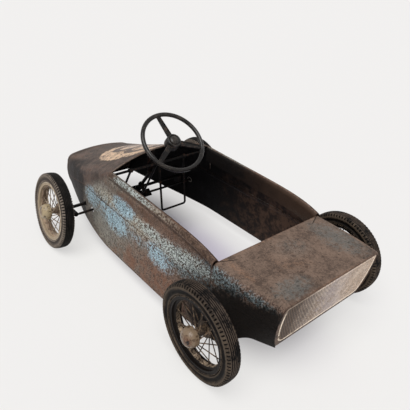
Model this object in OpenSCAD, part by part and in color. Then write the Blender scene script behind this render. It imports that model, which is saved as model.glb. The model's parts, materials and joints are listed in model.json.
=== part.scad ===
// Racing pedal car: long rounded sheet steel body, open cockpit, wire wheels.
// The front of the car faces -Y, its left side is +X and +Z is up.
// The origin is on the floor under the middle of the car.
// Distances called "ahead" are measured forward from the rear axle.

/* [Body] */
// Length of the body ahead of the rear axle
nose_len = 1006; // [960:2:1030]
// Length of the body behind the rear axle
tail_len = 157; // [145:1:175]
// Distance of the cowl edge ahead of the rear axle
cowl_ahead = 526; // [500:2:550]
// Distance of the rear deck's front edge ahead of the rear axle
deck_ahead = 46; // [30:1:70]
// Half width of the body at the cockpit lip
lip_half_w = 198; // [185:1:202]
// Half width of the body at the seam line
seam_half_w = 204; // [196:1:208]
// Half width of the body at its lower edge
skirt_half_w = 216; // [206:1:220]
// Half width of the nose
nose_half_w = 131; // [118:1:145]
// Half width of the tail
tail_half_w = 176; // [165:1:185]
// Height of the lower edge above the floor
skirt_z = 42; // [36:1:50]
// Height of the seam line above the floor
seam_z = 190; // [182:1:200]
// Height of the flat rear deck
deck_z = 257; // [248:1:264]
// Height of the cowl's crown
cowl_z = 345; // [335:1:352]
// Height of the cockpit lip at the cowl
lip_z = 301; // [294:1:306]
// Height of the nose's crown
nose_z = 187; // [178:1:200]
// Thickness of the body sheet
sheet_t = 1.5; // [1.2:0.1:2.2]
// Radius of the rolled cockpit lip
lip_r = 11; // [8:0.5:13]
// Depth of the flange folded down inside the cockpit lip
flange_h = 38; // [25:1:48]
// Lap of the upper sheets over the lower ones at the seam
seam_lap = 10; // [6:1:14]
// Gap left between sheets that lie on each other
sheet_gap = 0.3; // [0.2:0.05:0.5]

/* [Wheels] */
// Distance between the axles
wheelbase = 712; // [696:2:724]
// Half of the front track, at the hubs
front_half_track = 309; // [302:1:318]
// Half of the rear track, at the hubs
rear_half_track = 266; // [260:1:276]
// Inward lean of the front wheels in degrees
camber = 9; // [6:0.5:10]
// Radius of the tyres
tyre_r = 125; // [121:1:129]
// Half width of the tread
tread_half_w = 15; // [13:0.5:16]
// Half width of the tyre at its widest
tyre_half_w = 19; // [18:0.5:20]
// Number of grooves round the tread
tread_grooves = 7; // [4:1:8]
// Radius of the rim's edge
rim_r = 94; // [91:0.5:97]
// Half width of the rim
rim_half_w = 15; // [14:0.5:16]
// Thickness of the rim's sheet
rim_t = 1.6; // [1.2:0.1:2.2]
// Spokes on each flange of a hub
spokes_per_flange = 12; // [8:1:16]
// Radius of a spoke
spoke_r = 1.3; // [1:0.1:1.6]
// Radius of the hub flanges
hub_flange_r = 22; // [20:0.5:25]
// Half width of a hub
hub_half_w = 20; // [18:0.5:21]
// Radius of the domed hub cap
cap_r = 25; // [23.5:0.5:28]
// Height of the domed hub cap
cap_h = 27; // [25:0.5:30]

/* [Axles and steering] */
// Radius of the front axle beam
beam_r = 5.5; // [5:0.1:6]
// Radius of the rear axle
rear_axle_r = 6; // [5.5:0.1:6.5]
// Radius of the crank throws on the rear axle
crank_throw = 40; // [34:1:44]
// Radius of the front stub axles
stub_r = 5; // [4.5:0.1:5.5]
// Radius of the kingpins
kingpin_r = 4; // [3.5:0.1:4.5]
// Distance of the kingpins inside the hub centres
kingpin_inset = 47; // [44:1:52]
// Length of the steering arms
steer_arm = 66; // [60:1:70]
// Radius of the tie rod
tie_rod_r = 4; // [3.5:0.1:4.5]
// Radius of the pins at the tie rod's ends and middle
tie_pin_r = 3; // [2.5:0.1:3.5]
// Running clearance of shafts in their holes
run_gap = 0.05; // [0.03:0.01:0.08]
// Tilt of the steering column from level in degrees
column_tilt = 49; // [46:0.5:52]
// Radius of the steering column
column_r = 6; // [5.5:0.1:6.5]
// Distance of the steering wheel's centre ahead of the rear axle
wheel_ahead = 473; // [462:1:484]
// Height of the steering wheel's centre
wheel_z = 375; // [366:1:384]
// Radius of the steering wheel to the middle of its rim
wheel_ring_r = 97.5; // [90:0.5:105]
// Radius of the steering wheel's rim section
wheel_grip_r = 6.75; // [5.5:0.25:8]
// Width of a steering wheel spoke at the hub
wheel_spoke_w = 19; // [15:0.5:22]

/* [Pedals] */
// Distance of the pedal shaft ahead of the rear axle
pedal_ahead = 531; // [528:1:534]
// Height of the pedal shaft
pedal_z = 288; // [285:0.5:289]
// Radius of the pedal shaft
pedal_shaft_r = 4; // [3.5:0.1:4.5]
// Radius of the bent pedal rods
pedal_rod_r = 3.5; // [3:0.1:4]
// Length of the pedal arms
pedal_len = 170; // [155:1:178]
// Width of a pedal between its arms
pedal_w = 96; // [86:1:100]
// Forward lean of the left pedal at rest in degrees
left_pedal_rest = 32; // [25:1:36]
// Backward lean of the right pedal at rest in degrees
right_pedal_rest = 5; // [2:1:10]

/* [Hidden] */
$fn = 48;

rust_paint = [0.43, 0.37, 0.33];
blue_paint = [0.42, 0.55, 0.62];
dark_steel = [0.16, 0.14, 0.13];
beige_paint = [0.62, 0.55, 0.45];
rubber = [0.2, 0.18, 0.17];
black_grip = [0.14, 0.14, 0.15];

mid_y = (nose_len - tail_len) / 2;
ring_len = 30;
bonnet_end = nose_len - ring_len;
tyre_round = 0.387 * (tyre_r - rim_r);
tread_drop = 1.5;

module car() translate([0, mid_y, 0]) children();

// Body form: every size is a power of the share of the way from the cowl to an end
function fore(y) = max(0, (-y - cowl_ahead) / (nose_len - cowl_ahead));
function aft(y) = max(0, (y + cowl_ahead) / (cowl_ahead + tail_len));
function ease(t) = let(c = min(1, max(0, t))) c * c * (3 - 2 * c);
function plan(y, mid, nose, tail, nose_p, tail_p) =
    mid + (nose - mid) * pow(fore(y), nose_p) + (tail - mid) * pow(aft(y), tail_p);

nose_tuck = 0.92;
tail_tuck = 21;
nose_skirt_lift = 28;
tail_skirt_lift = 74;
nose_skirt_half_w = nose_half_w * nose_tuck;
tail_skirt_half_w = tail_half_w - tail_tuck;
nose_skirt_z = skirt_z + nose_skirt_lift;
tail_skirt_z = skirt_z + tail_skirt_lift;
// The skirt rises over a stretch that starts ahead of the rear axle
skirt_rise_ahead = 30;
skirt_rise_len = 135;
// The seam runs level up to a distance ahead, then drops to the nose
seam_level_ahead = 680;
nose_seam_drop = 95;
shoulder_r = 12;
nose_shoulder_r = 31;
cowl_crest = 4;
cowl_rise = cowl_z - lip_z + cowl_crest;
nose_rise = 8;
deck_bend_r = 20;

function skirt_x(y) = plan(y, skirt_half_w, nose_skirt_half_w, tail_skirt_half_w, 1.5, 5);
function seam_x(y) = plan(y, seam_half_w, nose_half_w, tail_half_w + 1, 2.1, 5);
function lip_x(y) = plan(y, lip_half_w, nose_half_w - 3, tail_half_w, 2, 7);
function skirt_h(y) = skirt_z + (nose_skirt_z - skirt_z) * pow(fore(y), 3)
    + (tail_skirt_z - skirt_z) * ease((y + skirt_rise_ahead) / skirt_rise_len);
function seam_h(y) = seam_z
    - nose_seam_drop * pow(max(0, (-y - seam_level_ahead) / (nose_len - seam_level_ahead)), 1.25);
function rise(y) = cowl_rise + (nose_rise - cowl_rise) * fore(y);
function bend_r(y) = shoulder_r + (nose_shoulder_r - shoulder_r) * fore(y);
function crown_h(y) = cowl_z - (cowl_z - nose_z) * (1.1 * fore(y) - 0.1 * pow(fore(y), 3));
function lip_share(y) = (y + cowl_ahead) / (cowl_ahead - deck_ahead);
lip_fall = 18;
lip_over_deck = 5;
function lip_h(y) = lip_z - lip_fall * lip_share(y)
    - (lip_z - lip_fall - deck_z - lip_over_deck) * pow(lip_share(y), 8);
// Height at which the side ends and the bend into the bonnet, lip or deck begins
function side_top(y) = y < -cowl_ahead ? crown_h(y) - rise(y) - bend_r(y)
    : y < -deck_ahead ? lip_h(y) - lip_r : deck_z - deck_bend_r;

// Half width of the side at a height, as a parabola through the skirt, seam and lip widths
function side_x(y, z) = let(a = skirt_h(y), b = seam_h(y), c = side_top(y))
    skirt_x(y) * (z - b) * (z - c) / ((a - b) * (a - c))
    + seam_x(y) * (z - a) * (z - c) / ((b - a) * (b - c))
    + lip_x(y) * (z - a) * (z - b) / ((c - a) * (c - b));

function turn(p, i) = p[min(i + 1, len(p) - 1)] - p[max(i - 1, 0)];
function inset(p, d) = [for (i = [0:len(p) - 1]) let(v = turn(p, i)) p[i] + d * [-v[1], v[0]] / norm(v)];
function back(p) = [for (i = [len(p) - 1:-1:0]) p[i]];
function flip_x(p) = [for (q = p) [-q[0], q[1]]];
// A half section with its mirror image, sharing the middle point
function both(h) = concat(h, [for (i = [len(h) - 2:-1:0]) [-h[i][0], h[i][1]]]);
// A closed loop round a sheet that follows a section path
function loop(y, path, t, lean = 0) =
    [for (q = concat(path, back(inset(path, t)))) [q[0], y - lean * (deck_z - q[1]), q[1]]];

// Sheet metal form through a row of loops, closed at both ends
module sheet(loops) {
    n = len(loops[0]);
    rows = len(loops);
    h = n / 2;
    side = [for (j = [0:rows - 2], i = [0:n - 1])
        let(a = j * n + i, b = j * n + (i + 1) % n) each [[a, b, b + n], [a, b + n, a + n]]];
    function cap(o, flip) = [for (i = [0:h - 2]) let(a = o + i, b = a + 1, c = o + n - 2 - i, d = c + 1)
        each flip ? [[a, c, b], [a, d, c]] : [[a, b, c], [a, c, d]]];
    polyhedron([for (l = loops) each l], concat(side, cap(0, true), cap((rows - 1) * n, false)));
}
function steps(a, b, n) = [for (i = [0:n]) a + (b - a) * i / n];

// Distance by which the tail's foot stands ahead of its top, and where the lean starts
tail_lean_run = 25;
lean_ahead = 10;
tail_lean = tail_lean_run / (deck_z - tail_skirt_z);
function lean_at(y) = tail_lean * ease((y + lean_ahead) / (tail_len + lean_ahead));

// Height of the straight strip along the seam, on which the sheets lap
strip_h = seam_lap + 3;
// Side of an upper sheet: the straight strip from the seam up, then the curve in n steps
function side_path(y, n, below_top = 0) = let(b = seam_h(y))
    concat([[side_x(y, b), b]], [for (z = steps(b + strip_h, side_top(y) - below_top, n)) [side_x(y, z), z]]);
// Folds the rim of a section inwards, apart from the strip along the seam
hem_run = 20;
function hem(y, p, d) = [for (i = [0:len(p) - 1])
    let(v = turn(p, i), share = ease((p[i][1] - seam_h(y) - strip_h) / hem_run))
    p[i] + d * share * [-v[1], v[0]] / norm(v)];

function bonnet_half(y) = let(
    r = bend_r(y), x0 = lip_x(y) - r, z0 = side_top(y),
    a0 = 2 * atan((crown_h(y) - z0 - r) / x0),
    xe = x0 + r * sin(a0), ze = z0 + r * cos(a0), h = crown_h(y) - ze,
    big = (xe * xe + h * h) / (2 * h))
    concat(side_path(y, 3),
        [for (a = steps(0, 90 - a0, 4)) if (a > 0) [x0 + r * cos(a), z0 + r * sin(a)]],
        [for (s = steps(1, 0, 6)) if (s < 1) [xe * s, crown_h(y) - big + sqrt(big * big - xe * xe * s * s)]]);

cowl_hem = 3;
bonnet_rows = steps(-bonnet_end, -cowl_ahead - cowl_hem, 15);
module bonnet() color(rust_paint) car() sheet(concat(
    [for (y = bonnet_rows) loop(y, both(bonnet_half(y)), sheet_t)],
    [for (a = [30, 60, 90]) loop(-cowl_ahead - cowl_hem * (1 - sin(a)),
        hem(-cowl_ahead, both(bonnet_half(-cowl_ahead)), cowl_hem * (1 - cos(a))), sheet_t)]));

// A groove pressed along the side sets off the lip
lip_groove_h = 12;
lip_groove_d = 1.2;
function lip_path(y) = let(x0 = lip_x(y) - lip_r, z0 = side_top(y))
    concat(side_path(y, 4, lip_groove_h),
        [for (share = [0.7, 0.3]) let(z = z0 - share * lip_groove_h) [side_x(y, z) - lip_groove_d, z]],
        [for (a = steps(0, 180, 8)) [x0 + lip_r * cos(a), z0 + lip_r * sin(a)]],
        [[x0 - lip_r, z0 - flange_h]]);
upper_rows = steps(-cowl_ahead, -deck_ahead - 1, 14);
module upper_side() car() sheet([for (y = upper_rows) loop(y, lip_path(y), sheet_t)]);
module left_upper_side() color(rust_paint) upper_side();
module right_upper_side() color(rust_paint) mirror([1, 0, 0]) upper_side();

// The lower side has the rows of the sheets above it, and its lap lies inside their strip
joggle_h = 2;
function lower_path(y) = let(strip = side_path(y, 1),
    u = (strip[1] - strip[0]) / norm(strip[1] - strip[0]),
    foot = strip[0] + (sheet_t + sheet_gap) * [-u[1], u[0]])
    concat([for (z = steps(skirt_h(y), seam_h(y) - joggle_h, 6)) [side_x(y, z), z]],
        [foot, foot + seam_lap * u]);
module lower_side() car() sheet([for (y = concat(bonnet_rows, upper_rows, deck_rows, [tail_len]))
    loop(y, lower_path(y), sheet_t, lean_at(y))]);

// A cylinder along X
module across(r, h) rotate([0, 90, 0]) cylinder(r = r, h = h);
side_cut = skirt_half_w + 20;
axle_hole_gap = 6;
beam_hole_gap = 4;
tie_hole_gap = 4;
// The tie rod swings forward and back in its hole as the wheels steer
tie_hole_ahead = 5;
tie_hole_behind = 2;
front_z = hub_z(camber);
pin_x = front_half_track - kingpin_inset;
beam_z = front_z - kingpin_inset * tan(camber);
tie_y = -wheelbase + steer_arm;
tie_z = beam_z + 7;
module side_holes() car() {
    translate([0, 0, rear_z]) across(rear_axle_r + axle_hole_gap, side_cut);
    translate([0, -wheelbase, beam_z]) across(beam_r + beam_hole_gap, side_cut);
    hull() for (d = [-tie_hole_ahead, tie_hole_behind])
        translate([0, tie_y + d, tie_z]) across(tie_rod_r + tie_hole_gap, side_cut, $fn = 24);
}
module side_panel() difference() { lower_side(); side_holes(); }
module left_lower_side() color(blue_paint) side_panel();
module right_lower_side() color(blue_paint) mirror([1, 0, 0]) side_panel();

function deck_half(y) = let(r = deck_bend_r, x0 = lip_x(y) - r)
    concat(side_path(y, 2),
        [for (a = steps(0, 90, 6)) if (a > 0) [x0 + r * cos(a), deck_z - r + r * sin(a)]],
        [[x0 / 2, deck_z], [0, deck_z]]);
deck_hem = 3;
deck_lip_h = 18;
deck_lip_gap = 8;
deck_rows = steps(-deck_ahead, tail_len - deck_hem, 12);
module rear_deck() color(rust_paint) car() {
    sheet(concat(
        [for (y = deck_rows) loop(y, both(deck_half(y)), sheet_t, lean_at(y))],
        [for (a = [30, 60, 90]) loop(tail_len - deck_hem * (1 - sin(a)),
            hem(tail_len, both(deck_half(tail_len)), deck_hem * (1 - cos(a))), sheet_t, tail_lean)]));
    lip = lip_half_w - 2 * lip_r - deck_lip_gap;
    translate([-lip, -deck_ahead, deck_z - deck_lip_h]) cube([2 * lip, sheet_t, deck_lip_h - sheet_t / 2]);
}

// Tail: a flat pressed panel in the leaning rear plane, with a bead and a mesh
tail_tilt = atan(tail_lean);
tail_inset = 2 * (sheet_t + sheet_gap);
tail_bead_in = 7;
tail_bead_w = 4;
function tail_edge(d) = let(
    y = tail_len,
    half = concat([for (z = steps(skirt_h(y), side_top(y), 6)) [side_x(y, z), z]],
        [for (a = steps(0, 90, 5)) if (a > 0)
            [lip_x(y) - deck_bend_r * (1 - cos(a)), deck_z - deck_bend_r * (1 - sin(a))]]),
    full = concat(inset(half, d), back(flip_x(inset(half, d)))))
    [for (q = full) [q[0], (q[1] - deck_z) / cos(tail_tilt)]];
module in_tail_plane() car() translate([0, tail_len, deck_z]) rotate([90 - tail_tilt, 0, 0]) children();
module tail_panel() color(beige_paint) in_tail_plane() {
    translate([0, 0, sheet_t]) linear_extrude(sheet_t) polygon(tail_edge(tail_inset));
    linear_extrude(sheet_t) difference() {
        polygon(tail_edge(tail_inset + tail_bead_in));
        polygon(tail_edge(tail_inset + tail_bead_in + tail_bead_w));
    }
}

// Nose: a pressed ring that rounds in from the body to the mouth
nose_mid_z = (nose_skirt_z + nose_z) / 2;
nose_corner_r = 8;
function nose_half() = let(y = -bonnet_end, r = nose_corner_r, b = skirt_h(y) + r)
    concat([[0, skirt_h(y)]],
        [for (a = steps(-90, 0, 3)) [side_x(y, b) - r + r * cos(a), b + r * sin(a)]],
        [for (z = steps(b, seam_h(y), 3)) if (z > b) [side_x(y, z), z]],
        [for (i = [1:len(bonnet_half(y)) - 1]) bonnet_half(y)[i]]);
// The body's outline at the bonnet's end, drawn in towards its middle by a share
function nose_outline(share) = let(full = both(nose_half()))
    [for (i = [0:len(full) - 2]) let(q = full[i]) [q[0] * share, nose_mid_z + (q[1] - nose_mid_z) * share]];

// Nose ring profile as [distance from the middle, distance ahead of the bonnet's end]
ring_in = 20;
ring_roll = 5;
ring_roll_turn = 150;
function ring_profile() = concat(
    [for (a = steps(0, 90, 6)) [nose_half_w - ring_in * (1 - cos(a)), ring_len * sin(a)]],
    [for (a = steps(0, ring_roll_turn, 5)) if (a > 0)
        [nose_half_w - ring_in - ring_roll * sin(a), ring_len - ring_roll * (1 - cos(a))]]);
function ring_row(q) = [for (e = nose_outline(q[0] / nose_half_w)) [e[0], -bonnet_end - max(0, q[1]), e[1]]];
module nose_ring() color(rust_paint) car() {
    rows = [for (q = concat(ring_profile(), back(inset(ring_profile(), sheet_t)))) ring_row(q)];
    m = len(rows);
    n = len(rows[0]);
    polyhedron([for (r = rows) each r], [for (j = [0:m - 1], i = [0:n - 1])
        let(k = (i + 1) % n, a = j * n, b = ((j + 1) % m) * n)
        each [[a + i, b + k, a + k], [a + i, b + i, b + k]]]);
}
grille_ahead = ring_len - 2 * ring_roll + 0.3;
grille_in = 14;
grille_slots = 11;
grille_slot_w = 9;
grille_side_margin = 35;
grille_end_margin = 31;
grille_pitch = 2 * (nose_half_w - grille_side_margin) / grille_slots;
grille_slot_h = nose_z - nose_skirt_z - 2 * grille_end_margin;
module nose_grille() color(dark_steel) car()
    translate([0, -bonnet_end - grille_ahead + sheet_t, 0]) rotate([90, 0, 0])
    linear_extrude(sheet_t) difference() {
        polygon(nose_outline(1 - grille_in / nose_half_w));
        for (k = [0:grille_slots - 1]) translate([(k - (grille_slots - 1) / 2) * grille_pitch, nose_mid_z]) {
            square([grille_slot_w, grille_slot_h], center = true);
            for (e = [-1, 1]) translate([0, e * grille_slot_h / 2]) circle(r = grille_slot_w / 2, $fn = 24);
        }
    }

// Wheels: the local Z axis is the axle, pointing outwards
function tyre_shape() = [[0, tyre_r], [tread_half_w, tyre_r - tread_drop],
    [tyre_half_w, tyre_r - tyre_round]];
function hub_z(c) = max([for (p = tyre_shape()) p[1] * cos(c) + p[0] * sin(c)]);
rear_z = hub_z(0);
module at_wheel(front, side) car()
    translate(front ? [side * front_half_track, -wheelbase, front_z] : [side * rear_half_track, 0, rear_z])
    rotate([0, side * (90 - (front ? camber : 0)), 0]) children();

bed_r = rim_r - 6;
groove_d = 2.2;
groove_w = 1.2;
bead_gap = 0.3;
function down(p) = [for (q = p) [q[0], -q[1]]];
// Half of the tyre's section, from the tread's middle to the bead in the rim
function tyre_half() = [[tyre_r, 0], [tyre_r - 0.4, tread_half_w / 2], [tyre_r - tread_drop, tread_half_w],
    [tyre_r - tyre_round, tyre_half_w], [rim_r + tyre_round, tyre_half_w], [rim_r + 4, rim_half_w + 2],
    [rim_r + 1, rim_half_w - rim_t - bead_gap], [bed_r, rim_half_w - rim_t - bead_gap]];
module tyre() color(rubber) rotate_extrude($fn = 96) difference() {
    polygon(concat(tyre_half(), [for (i = [len(tyre_half()) - 1:-1:1]) down(tyre_half())[i]]));
    pitch = 2 * tread_half_w / (tread_grooves + 1);
    for (i = [0:tread_grooves - 1])
        translate([tyre_r - groove_d, (i - (tread_grooves - 1) / 2) * pitch - groove_w / 2])
            square([groove_d + 1, groove_w]);
}
well_d = 6;
well_half_w = 7;
well_foot_half_w = 4;
// Share of the sheet's thickness by which the rolled edge's middle stands outside the sheet's
roll_out = 0.375;
// Half of the rim's section: rolled edge, bead seat and the side of the well
function rim_side() = concat(
    [for (a = steps(180 - asin(0.5 - roll_out), asin(0.5 + roll_out) - 180, 10))
        [rim_r + rim_t * cos(a), rim_half_w + rim_t * (roll_out - 0.5 + sin(a))]],
    [[bed_r, rim_half_w - rim_t], [bed_r, well_half_w], [bed_r - well_d, well_foot_half_w]]);
function rim_back() = [[bed_r - rim_t, rim_half_w], [bed_r - rim_t, well_half_w + rim_t],
    [bed_r - well_d - rim_t, well_foot_half_w + rim_t]];
module rim() color(beige_paint) rotate_extrude($fn = 96)
    polygon(concat(rim_side(), back(down(rim_side())), down(rim_back()), back(rim_back())));
module rod(a, b, r) {
    v = b - a;
    translate(a) rotate([0, acos(v[2] / norm(v)), atan2(v[1], v[0])]) cylinder(r = r, h = norm(v), $fn = 24);
}
function polar(r, a, z) = [r * cos(a), r * sin(a), z];
spoke_lean = 48;
module spokes() color(beige_paint) {
    foot = hub_flange_r - 3;
    tip = bed_r - well_d - rim_t / 2;
    for (i = [0:spokes_per_flange - 1], s = [-1, 1]) {
        a = (i + (s > 0 ? 0 : 0.5)) * 360 / spokes_per_flange;
        rod(polar(foot, a, s * (flange_out - flange_t / 2)), polar(tip, a + s * spoke_lean, s * 3), spoke_r);
    }
}
module hub(bore) color(beige_paint) rotate_extrude() difference() {
    union() {
        translate([0, -hub_half_w]) square([bore + 5, 2 * hub_half_w]);
        for (s = [-1, 1]) translate([0, s * (flange_out - flange_t / 2) - flange_t / 2])
            square([hub_flange_r, flange_t]);
    }
    translate([-1, -hub_half_w - 1]) square([bore + 1, 2 * hub_half_w + 2]);
}
flange_t = 3;
flange_out = hub_half_w - 2.5;
cap_foot_r = hub_flange_r - 2.5;
function cap_arc(r, h) = [for (a = steps(0, 90, 10)) [r * pow(cos(a), 0.8), h * 0.25 + h * 0.75 * sin(a)]];
module hub_cap() color(beige_paint) translate([0, 0, flange_out]) rotate_extrude()
    polygon(concat([[cap_foot_r, 0], [cap_r, 0]], cap_arc(cap_r, cap_h),
        back(cap_arc(cap_r - sheet_t, cap_h - sheet_t)),
        [[cap_r - sheet_t, sheet_t], [cap_foot_r, sheet_t]]));
module nut(r, z, h) color(dark_steel) translate([0, 0, z]) difference() {
    cylinder(r = 2 * r - 1, h = h, $fn = 6);
    translate([0, 0, -1]) cylinder(r = r, h = h + 2);
}

module front_left_tyre() at_wheel(true, 1) tyre();
module front_right_tyre() at_wheel(true, -1) tyre();
module rear_left_tyre() at_wheel(false, 1) tyre();
module rear_right_tyre() at_wheel(false, -1) tyre();
module front_left_rim() at_wheel(true, 1) rim();
module front_right_rim() at_wheel(true, -1) rim();
module rear_left_rim() at_wheel(false, 1) rim();
module rear_right_rim() at_wheel(false, -1) rim();
module front_left_spokes() at_wheel(true, 1) spokes();
module front_right_spokes() at_wheel(true, -1) spokes();
module rear_left_spokes() at_wheel(false, 1) spokes();
module rear_right_spokes() at_wheel(false, -1) spokes();
module front_left_hub() at_wheel(true, 1) hub(stub_r + run_gap);
module front_right_hub() at_wheel(true, -1) hub(stub_r + run_gap);
module rear_left_hub() at_wheel(false, 1) hub(rear_axle_r);
module rear_right_hub() at_wheel(false, -1) hub(rear_axle_r + run_gap);
module front_left_hub_cap() at_wheel(true, 1) hub_cap();
module front_right_hub_cap() at_wheel(true, -1) hub_cap();
module rear_left_hub_cap() at_wheel(false, 1) hub_cap();
module rear_right_hub_cap() at_wheel(false, -1) hub_cap();

nut_h = 6;
nut_gap = 0.3;
stub_end = hub_half_w + nut_gap + nut_h + 2;
module left_hub_nut() at_wheel(true, 1) nut(stub_r, hub_half_w + nut_gap, nut_h);
module right_hub_nut() at_wheel(true, -1) nut(stub_r, hub_half_w + nut_gap, nut_h);
module rear_axle_nuts() for (s = [-1, 1]) at_wheel(false, s) nut(rear_axle_r, hub_half_w + nut_gap, nut_h);

// Front axle beam with an upright eye at each end
eye_r = kingpin_r + 5;
eye_h = 18;
module front_axle_beam() color(dark_steel) car() translate([0, -wheelbase, beam_z]) difference() {
    union() {
        translate([-pin_x, 0, 0]) across(beam_r, 2 * pin_x);
        for (s = [-1, 1]) translate([s * pin_x, 0, -eye_h / 2]) cylinder(r = eye_r, h = eye_h);
    }
    for (s = [-1, 1]) translate([s * pin_x, 0, -eye_h]) cylinder(r = kingpin_r + run_gap, h = 2 * eye_h);
}

// Steel saddle that holds the beam on the inside of a side panel
saddle_t = 3;
saddle_w = 40;
saddle_h = 64;
seat_gap = 0.3;
// Row of the side sheet that passes a place, because the rows lean towards the tail
function row_at(y, z) = let(near = y + lean_at(y) * (deck_z - z)) y + lean_at(near) * (deck_z - z);
// Furthest out that a flat plate can stand inside a side panel, at its middle
function plate_x(y, z, w, h, slope) = min([for (dy = steps(-w / 2, w / 2, 4), dz = steps(-h / 2, h / 2, 4))
    side_x(row_at(y + dy, z + dz), z + dz) - tan(slope) * dy]) - sheet_t / cos(slope) - seat_gap;
saddle_slope = atan((seam_x(-wheelbase + 20) - seam_x(-wheelbase - 20)) / 40);
saddle_x = plate_x(-wheelbase, beam_z, saddle_w, saddle_h, saddle_slope);
module saddle() color(dark_steel) car() difference() {
    translate([saddle_x, -wheelbase, beam_z]) rotate([0, 0, -saddle_slope])
        translate([-saddle_t, -saddle_w / 2, -saddle_h / 2]) cube([saddle_t, saddle_w, saddle_h]);
    translate([0, -wheelbase, beam_z]) across(beam_r, side_cut);
}
module left_axle_saddle() saddle();
module right_axle_saddle() mirror([1, 0, 0]) saddle();

// Knuckle: a fork round the beam's eye, the stub axle and the steering arm
ear_gap = 0.4;
ear_t = 4;
arm_w = 12;
module knuckle() color(dark_steel) {
    car() translate([pin_x, -wheelbase, beam_z]) difference() {
        union() {
            for (s = [-1, 1]) translate([0, 0, s * (eye_h / 2 + ear_gap + ear_t / 2) - ear_t / 2])
                linear_extrude(ear_t) union() {
                    circle(r = eye_r);
                    translate([0, -eye_r]) square([eye_r + 4, 2 * eye_r]);
                }
            translate([eye_r + 1, -eye_r, -eye_h / 2 - ear_gap - ear_t])
                cube([5, 2 * eye_r, eye_h + 2 * (ear_gap + ear_t)]);
            translate([-arm_w / 2, 0, eye_h / 2 + ear_gap]) cube([arm_w, steer_arm, ear_t]);
            translate([0, steer_arm, eye_h / 2 + ear_gap]) cylinder(r = arm_w / 2, h = ear_t);
        }
        for (p = [[0, kingpin_r], [steer_arm, tie_pin_r]])
            translate([0, p[0], -eye_h]) cylinder(r = p[1], h = 2 * eye_h);
    }
    at_wheel(true, 1) translate([0, 0, -kingpin_inset / cos(camber) + eye_r + 3])
        cylinder(r = stub_r, h = kingpin_inset / cos(camber) - eye_r - 3 + stub_end);
    at_wheel(true, 1) translate([0, 0, -hub_half_w - 3]) cylinder(r = stub_r + 3, h = 2.7);
}
module left_knuckle() knuckle();
module right_knuckle() mirror([1, 0, 0]) knuckle();

pin_head = 3;
module kingpin() color(dark_steel) car() translate([pin_x, -wheelbase, beam_z]) {
    reach = eye_h / 2 + ear_gap + ear_t;
    translate([0, 0, -reach]) cylinder(r = kingpin_r, h = 2 * reach);
    translate([0, 0, reach]) cylinder(r = kingpin_r + 3, h = pin_head, $fn = 6);
    translate([0, 0, -reach - pin_head]) cylinder(r = kingpin_r + 3, h = pin_head, $fn = 6);
}
module left_kingpin() kingpin();
module right_kingpin() mirror([1, 0, 0]) kingpin();

// Tie rod: flat eyes under the steering arms and a slotted flat in the middle
tie_eye_t = 4;
arm_z = beam_z + eye_h / 2 + ear_gap;
tie_eye_z = arm_z - seat_gap - tie_eye_t;
tie_head = 2;
module tie_pin() color(dark_steel) car() translate([pin_x, tie_y, 0]) {
    low = tie_eye_z - seat_gap - tie_head;
    high = arm_z + ear_t;
    translate([0, 0, low + tie_head / 2]) cylinder(r = tie_pin_r, h = high - low);
    for (z = [low, high]) translate([0, 0, z]) cylinder(r = tie_pin_r + 2, h = tie_head);
}
module left_tie_pin() tie_pin();
module right_tie_pin() mirror([1, 0, 0]) tie_pin();

axis = [0, cos(column_tilt), sin(column_tilt)];
wheel_c = [0, -wheel_ahead, wheel_z];
module on_column(t) car() translate(wheel_c - t * axis) rotate([column_tilt - 90, 0, 0]) children();
rod_z = tie_eye_z + tie_eye_t / 2;
// The drop arm meets the tie rod: solve for its place along the column and its length
arm_dy = tie_y + wheel_ahead;
arm_dz = rod_z - wheel_z;
drop_t = -(arm_dy * axis[1] + arm_dz * axis[2]);
drop_len = arm_dy * sin(column_tilt) - arm_dz * cos(column_tilt);
flat_w = 27;
flat_l = 46;
flat_t = 4;
slot_travel = 3;
slot_r = tie_pin_r + 1;
module tie_rod() color(dark_steel) difference() {
    union() {
        car() for (s = [-1, 1]) {
            translate([s * (pin_x - 6), tie_y, rod_z]) rotate([0, -s * 90, 0])
                cylinder(r = tie_rod_r, h = pin_x - 6 - flat_l / 2 + 3);
            translate([s * pin_x, tie_y, tie_eye_z]) cylinder(r = arm_w / 2 + 1, h = tie_eye_t);
        }
        on_column(drop_t) translate([-flat_l / 2, drop_len - flat_w / 2, -flat_t / 2])
            cube([flat_l, flat_w, flat_t]);
    }
    // Each end is drilled for its pin and cut flat above and below its eye
    car() for (s = [-1, 1]) translate([s * pin_x, tie_y, tie_eye_z]) {
        translate([0, 0, -5]) cylinder(r = tie_pin_r + run_gap, h = 14);
        for (z = [tie_eye_t, -9]) translate([-arm_w, -arm_w, z]) cube([2 * arm_w, 2 * arm_w, 9]);
    }
    on_column(drop_t) translate([0, drop_len, -9]) {
        for (d = [0, slot_travel]) translate([0, -d, 0]) cylinder(r = slot_r, h = 18);
        translate([-slot_r, -slot_travel, 0]) cube([2 * slot_r, slot_travel, 18]);
    }
}
arm_plate = 5;
arm_lift = flat_t / 2 + 0.5 + arm_plate / 2;
module drop_arm() color(dark_steel) on_column(drop_t - arm_lift) difference() {
    union() {
        translate([0, 0, -arm_plate / 2]) cylinder(r = column_r + 5, h = arm_plate);
        translate([-arm_w / 2, min(0, drop_len), -arm_plate / 2]) cube([arm_w, abs(drop_len), arm_plate]);
        translate([0, drop_len, -arm_plate / 2]) cylinder(r = arm_w / 2, h = arm_plate);
        translate([0, drop_len, -arm_plate / 2 - flat_t - 3]) cylinder(r = tie_pin_r, h = flat_t + 4);
    }
    translate([0, 0, -arm_plate]) cylinder(r = column_r, h = 2 * arm_plate);
}

column_past_arm = 34;
column_end = drop_t + column_past_arm;
module steering_column() color(dark_steel) on_column(column_end) cylinder(r = column_r, h = column_end - 18);

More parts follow.
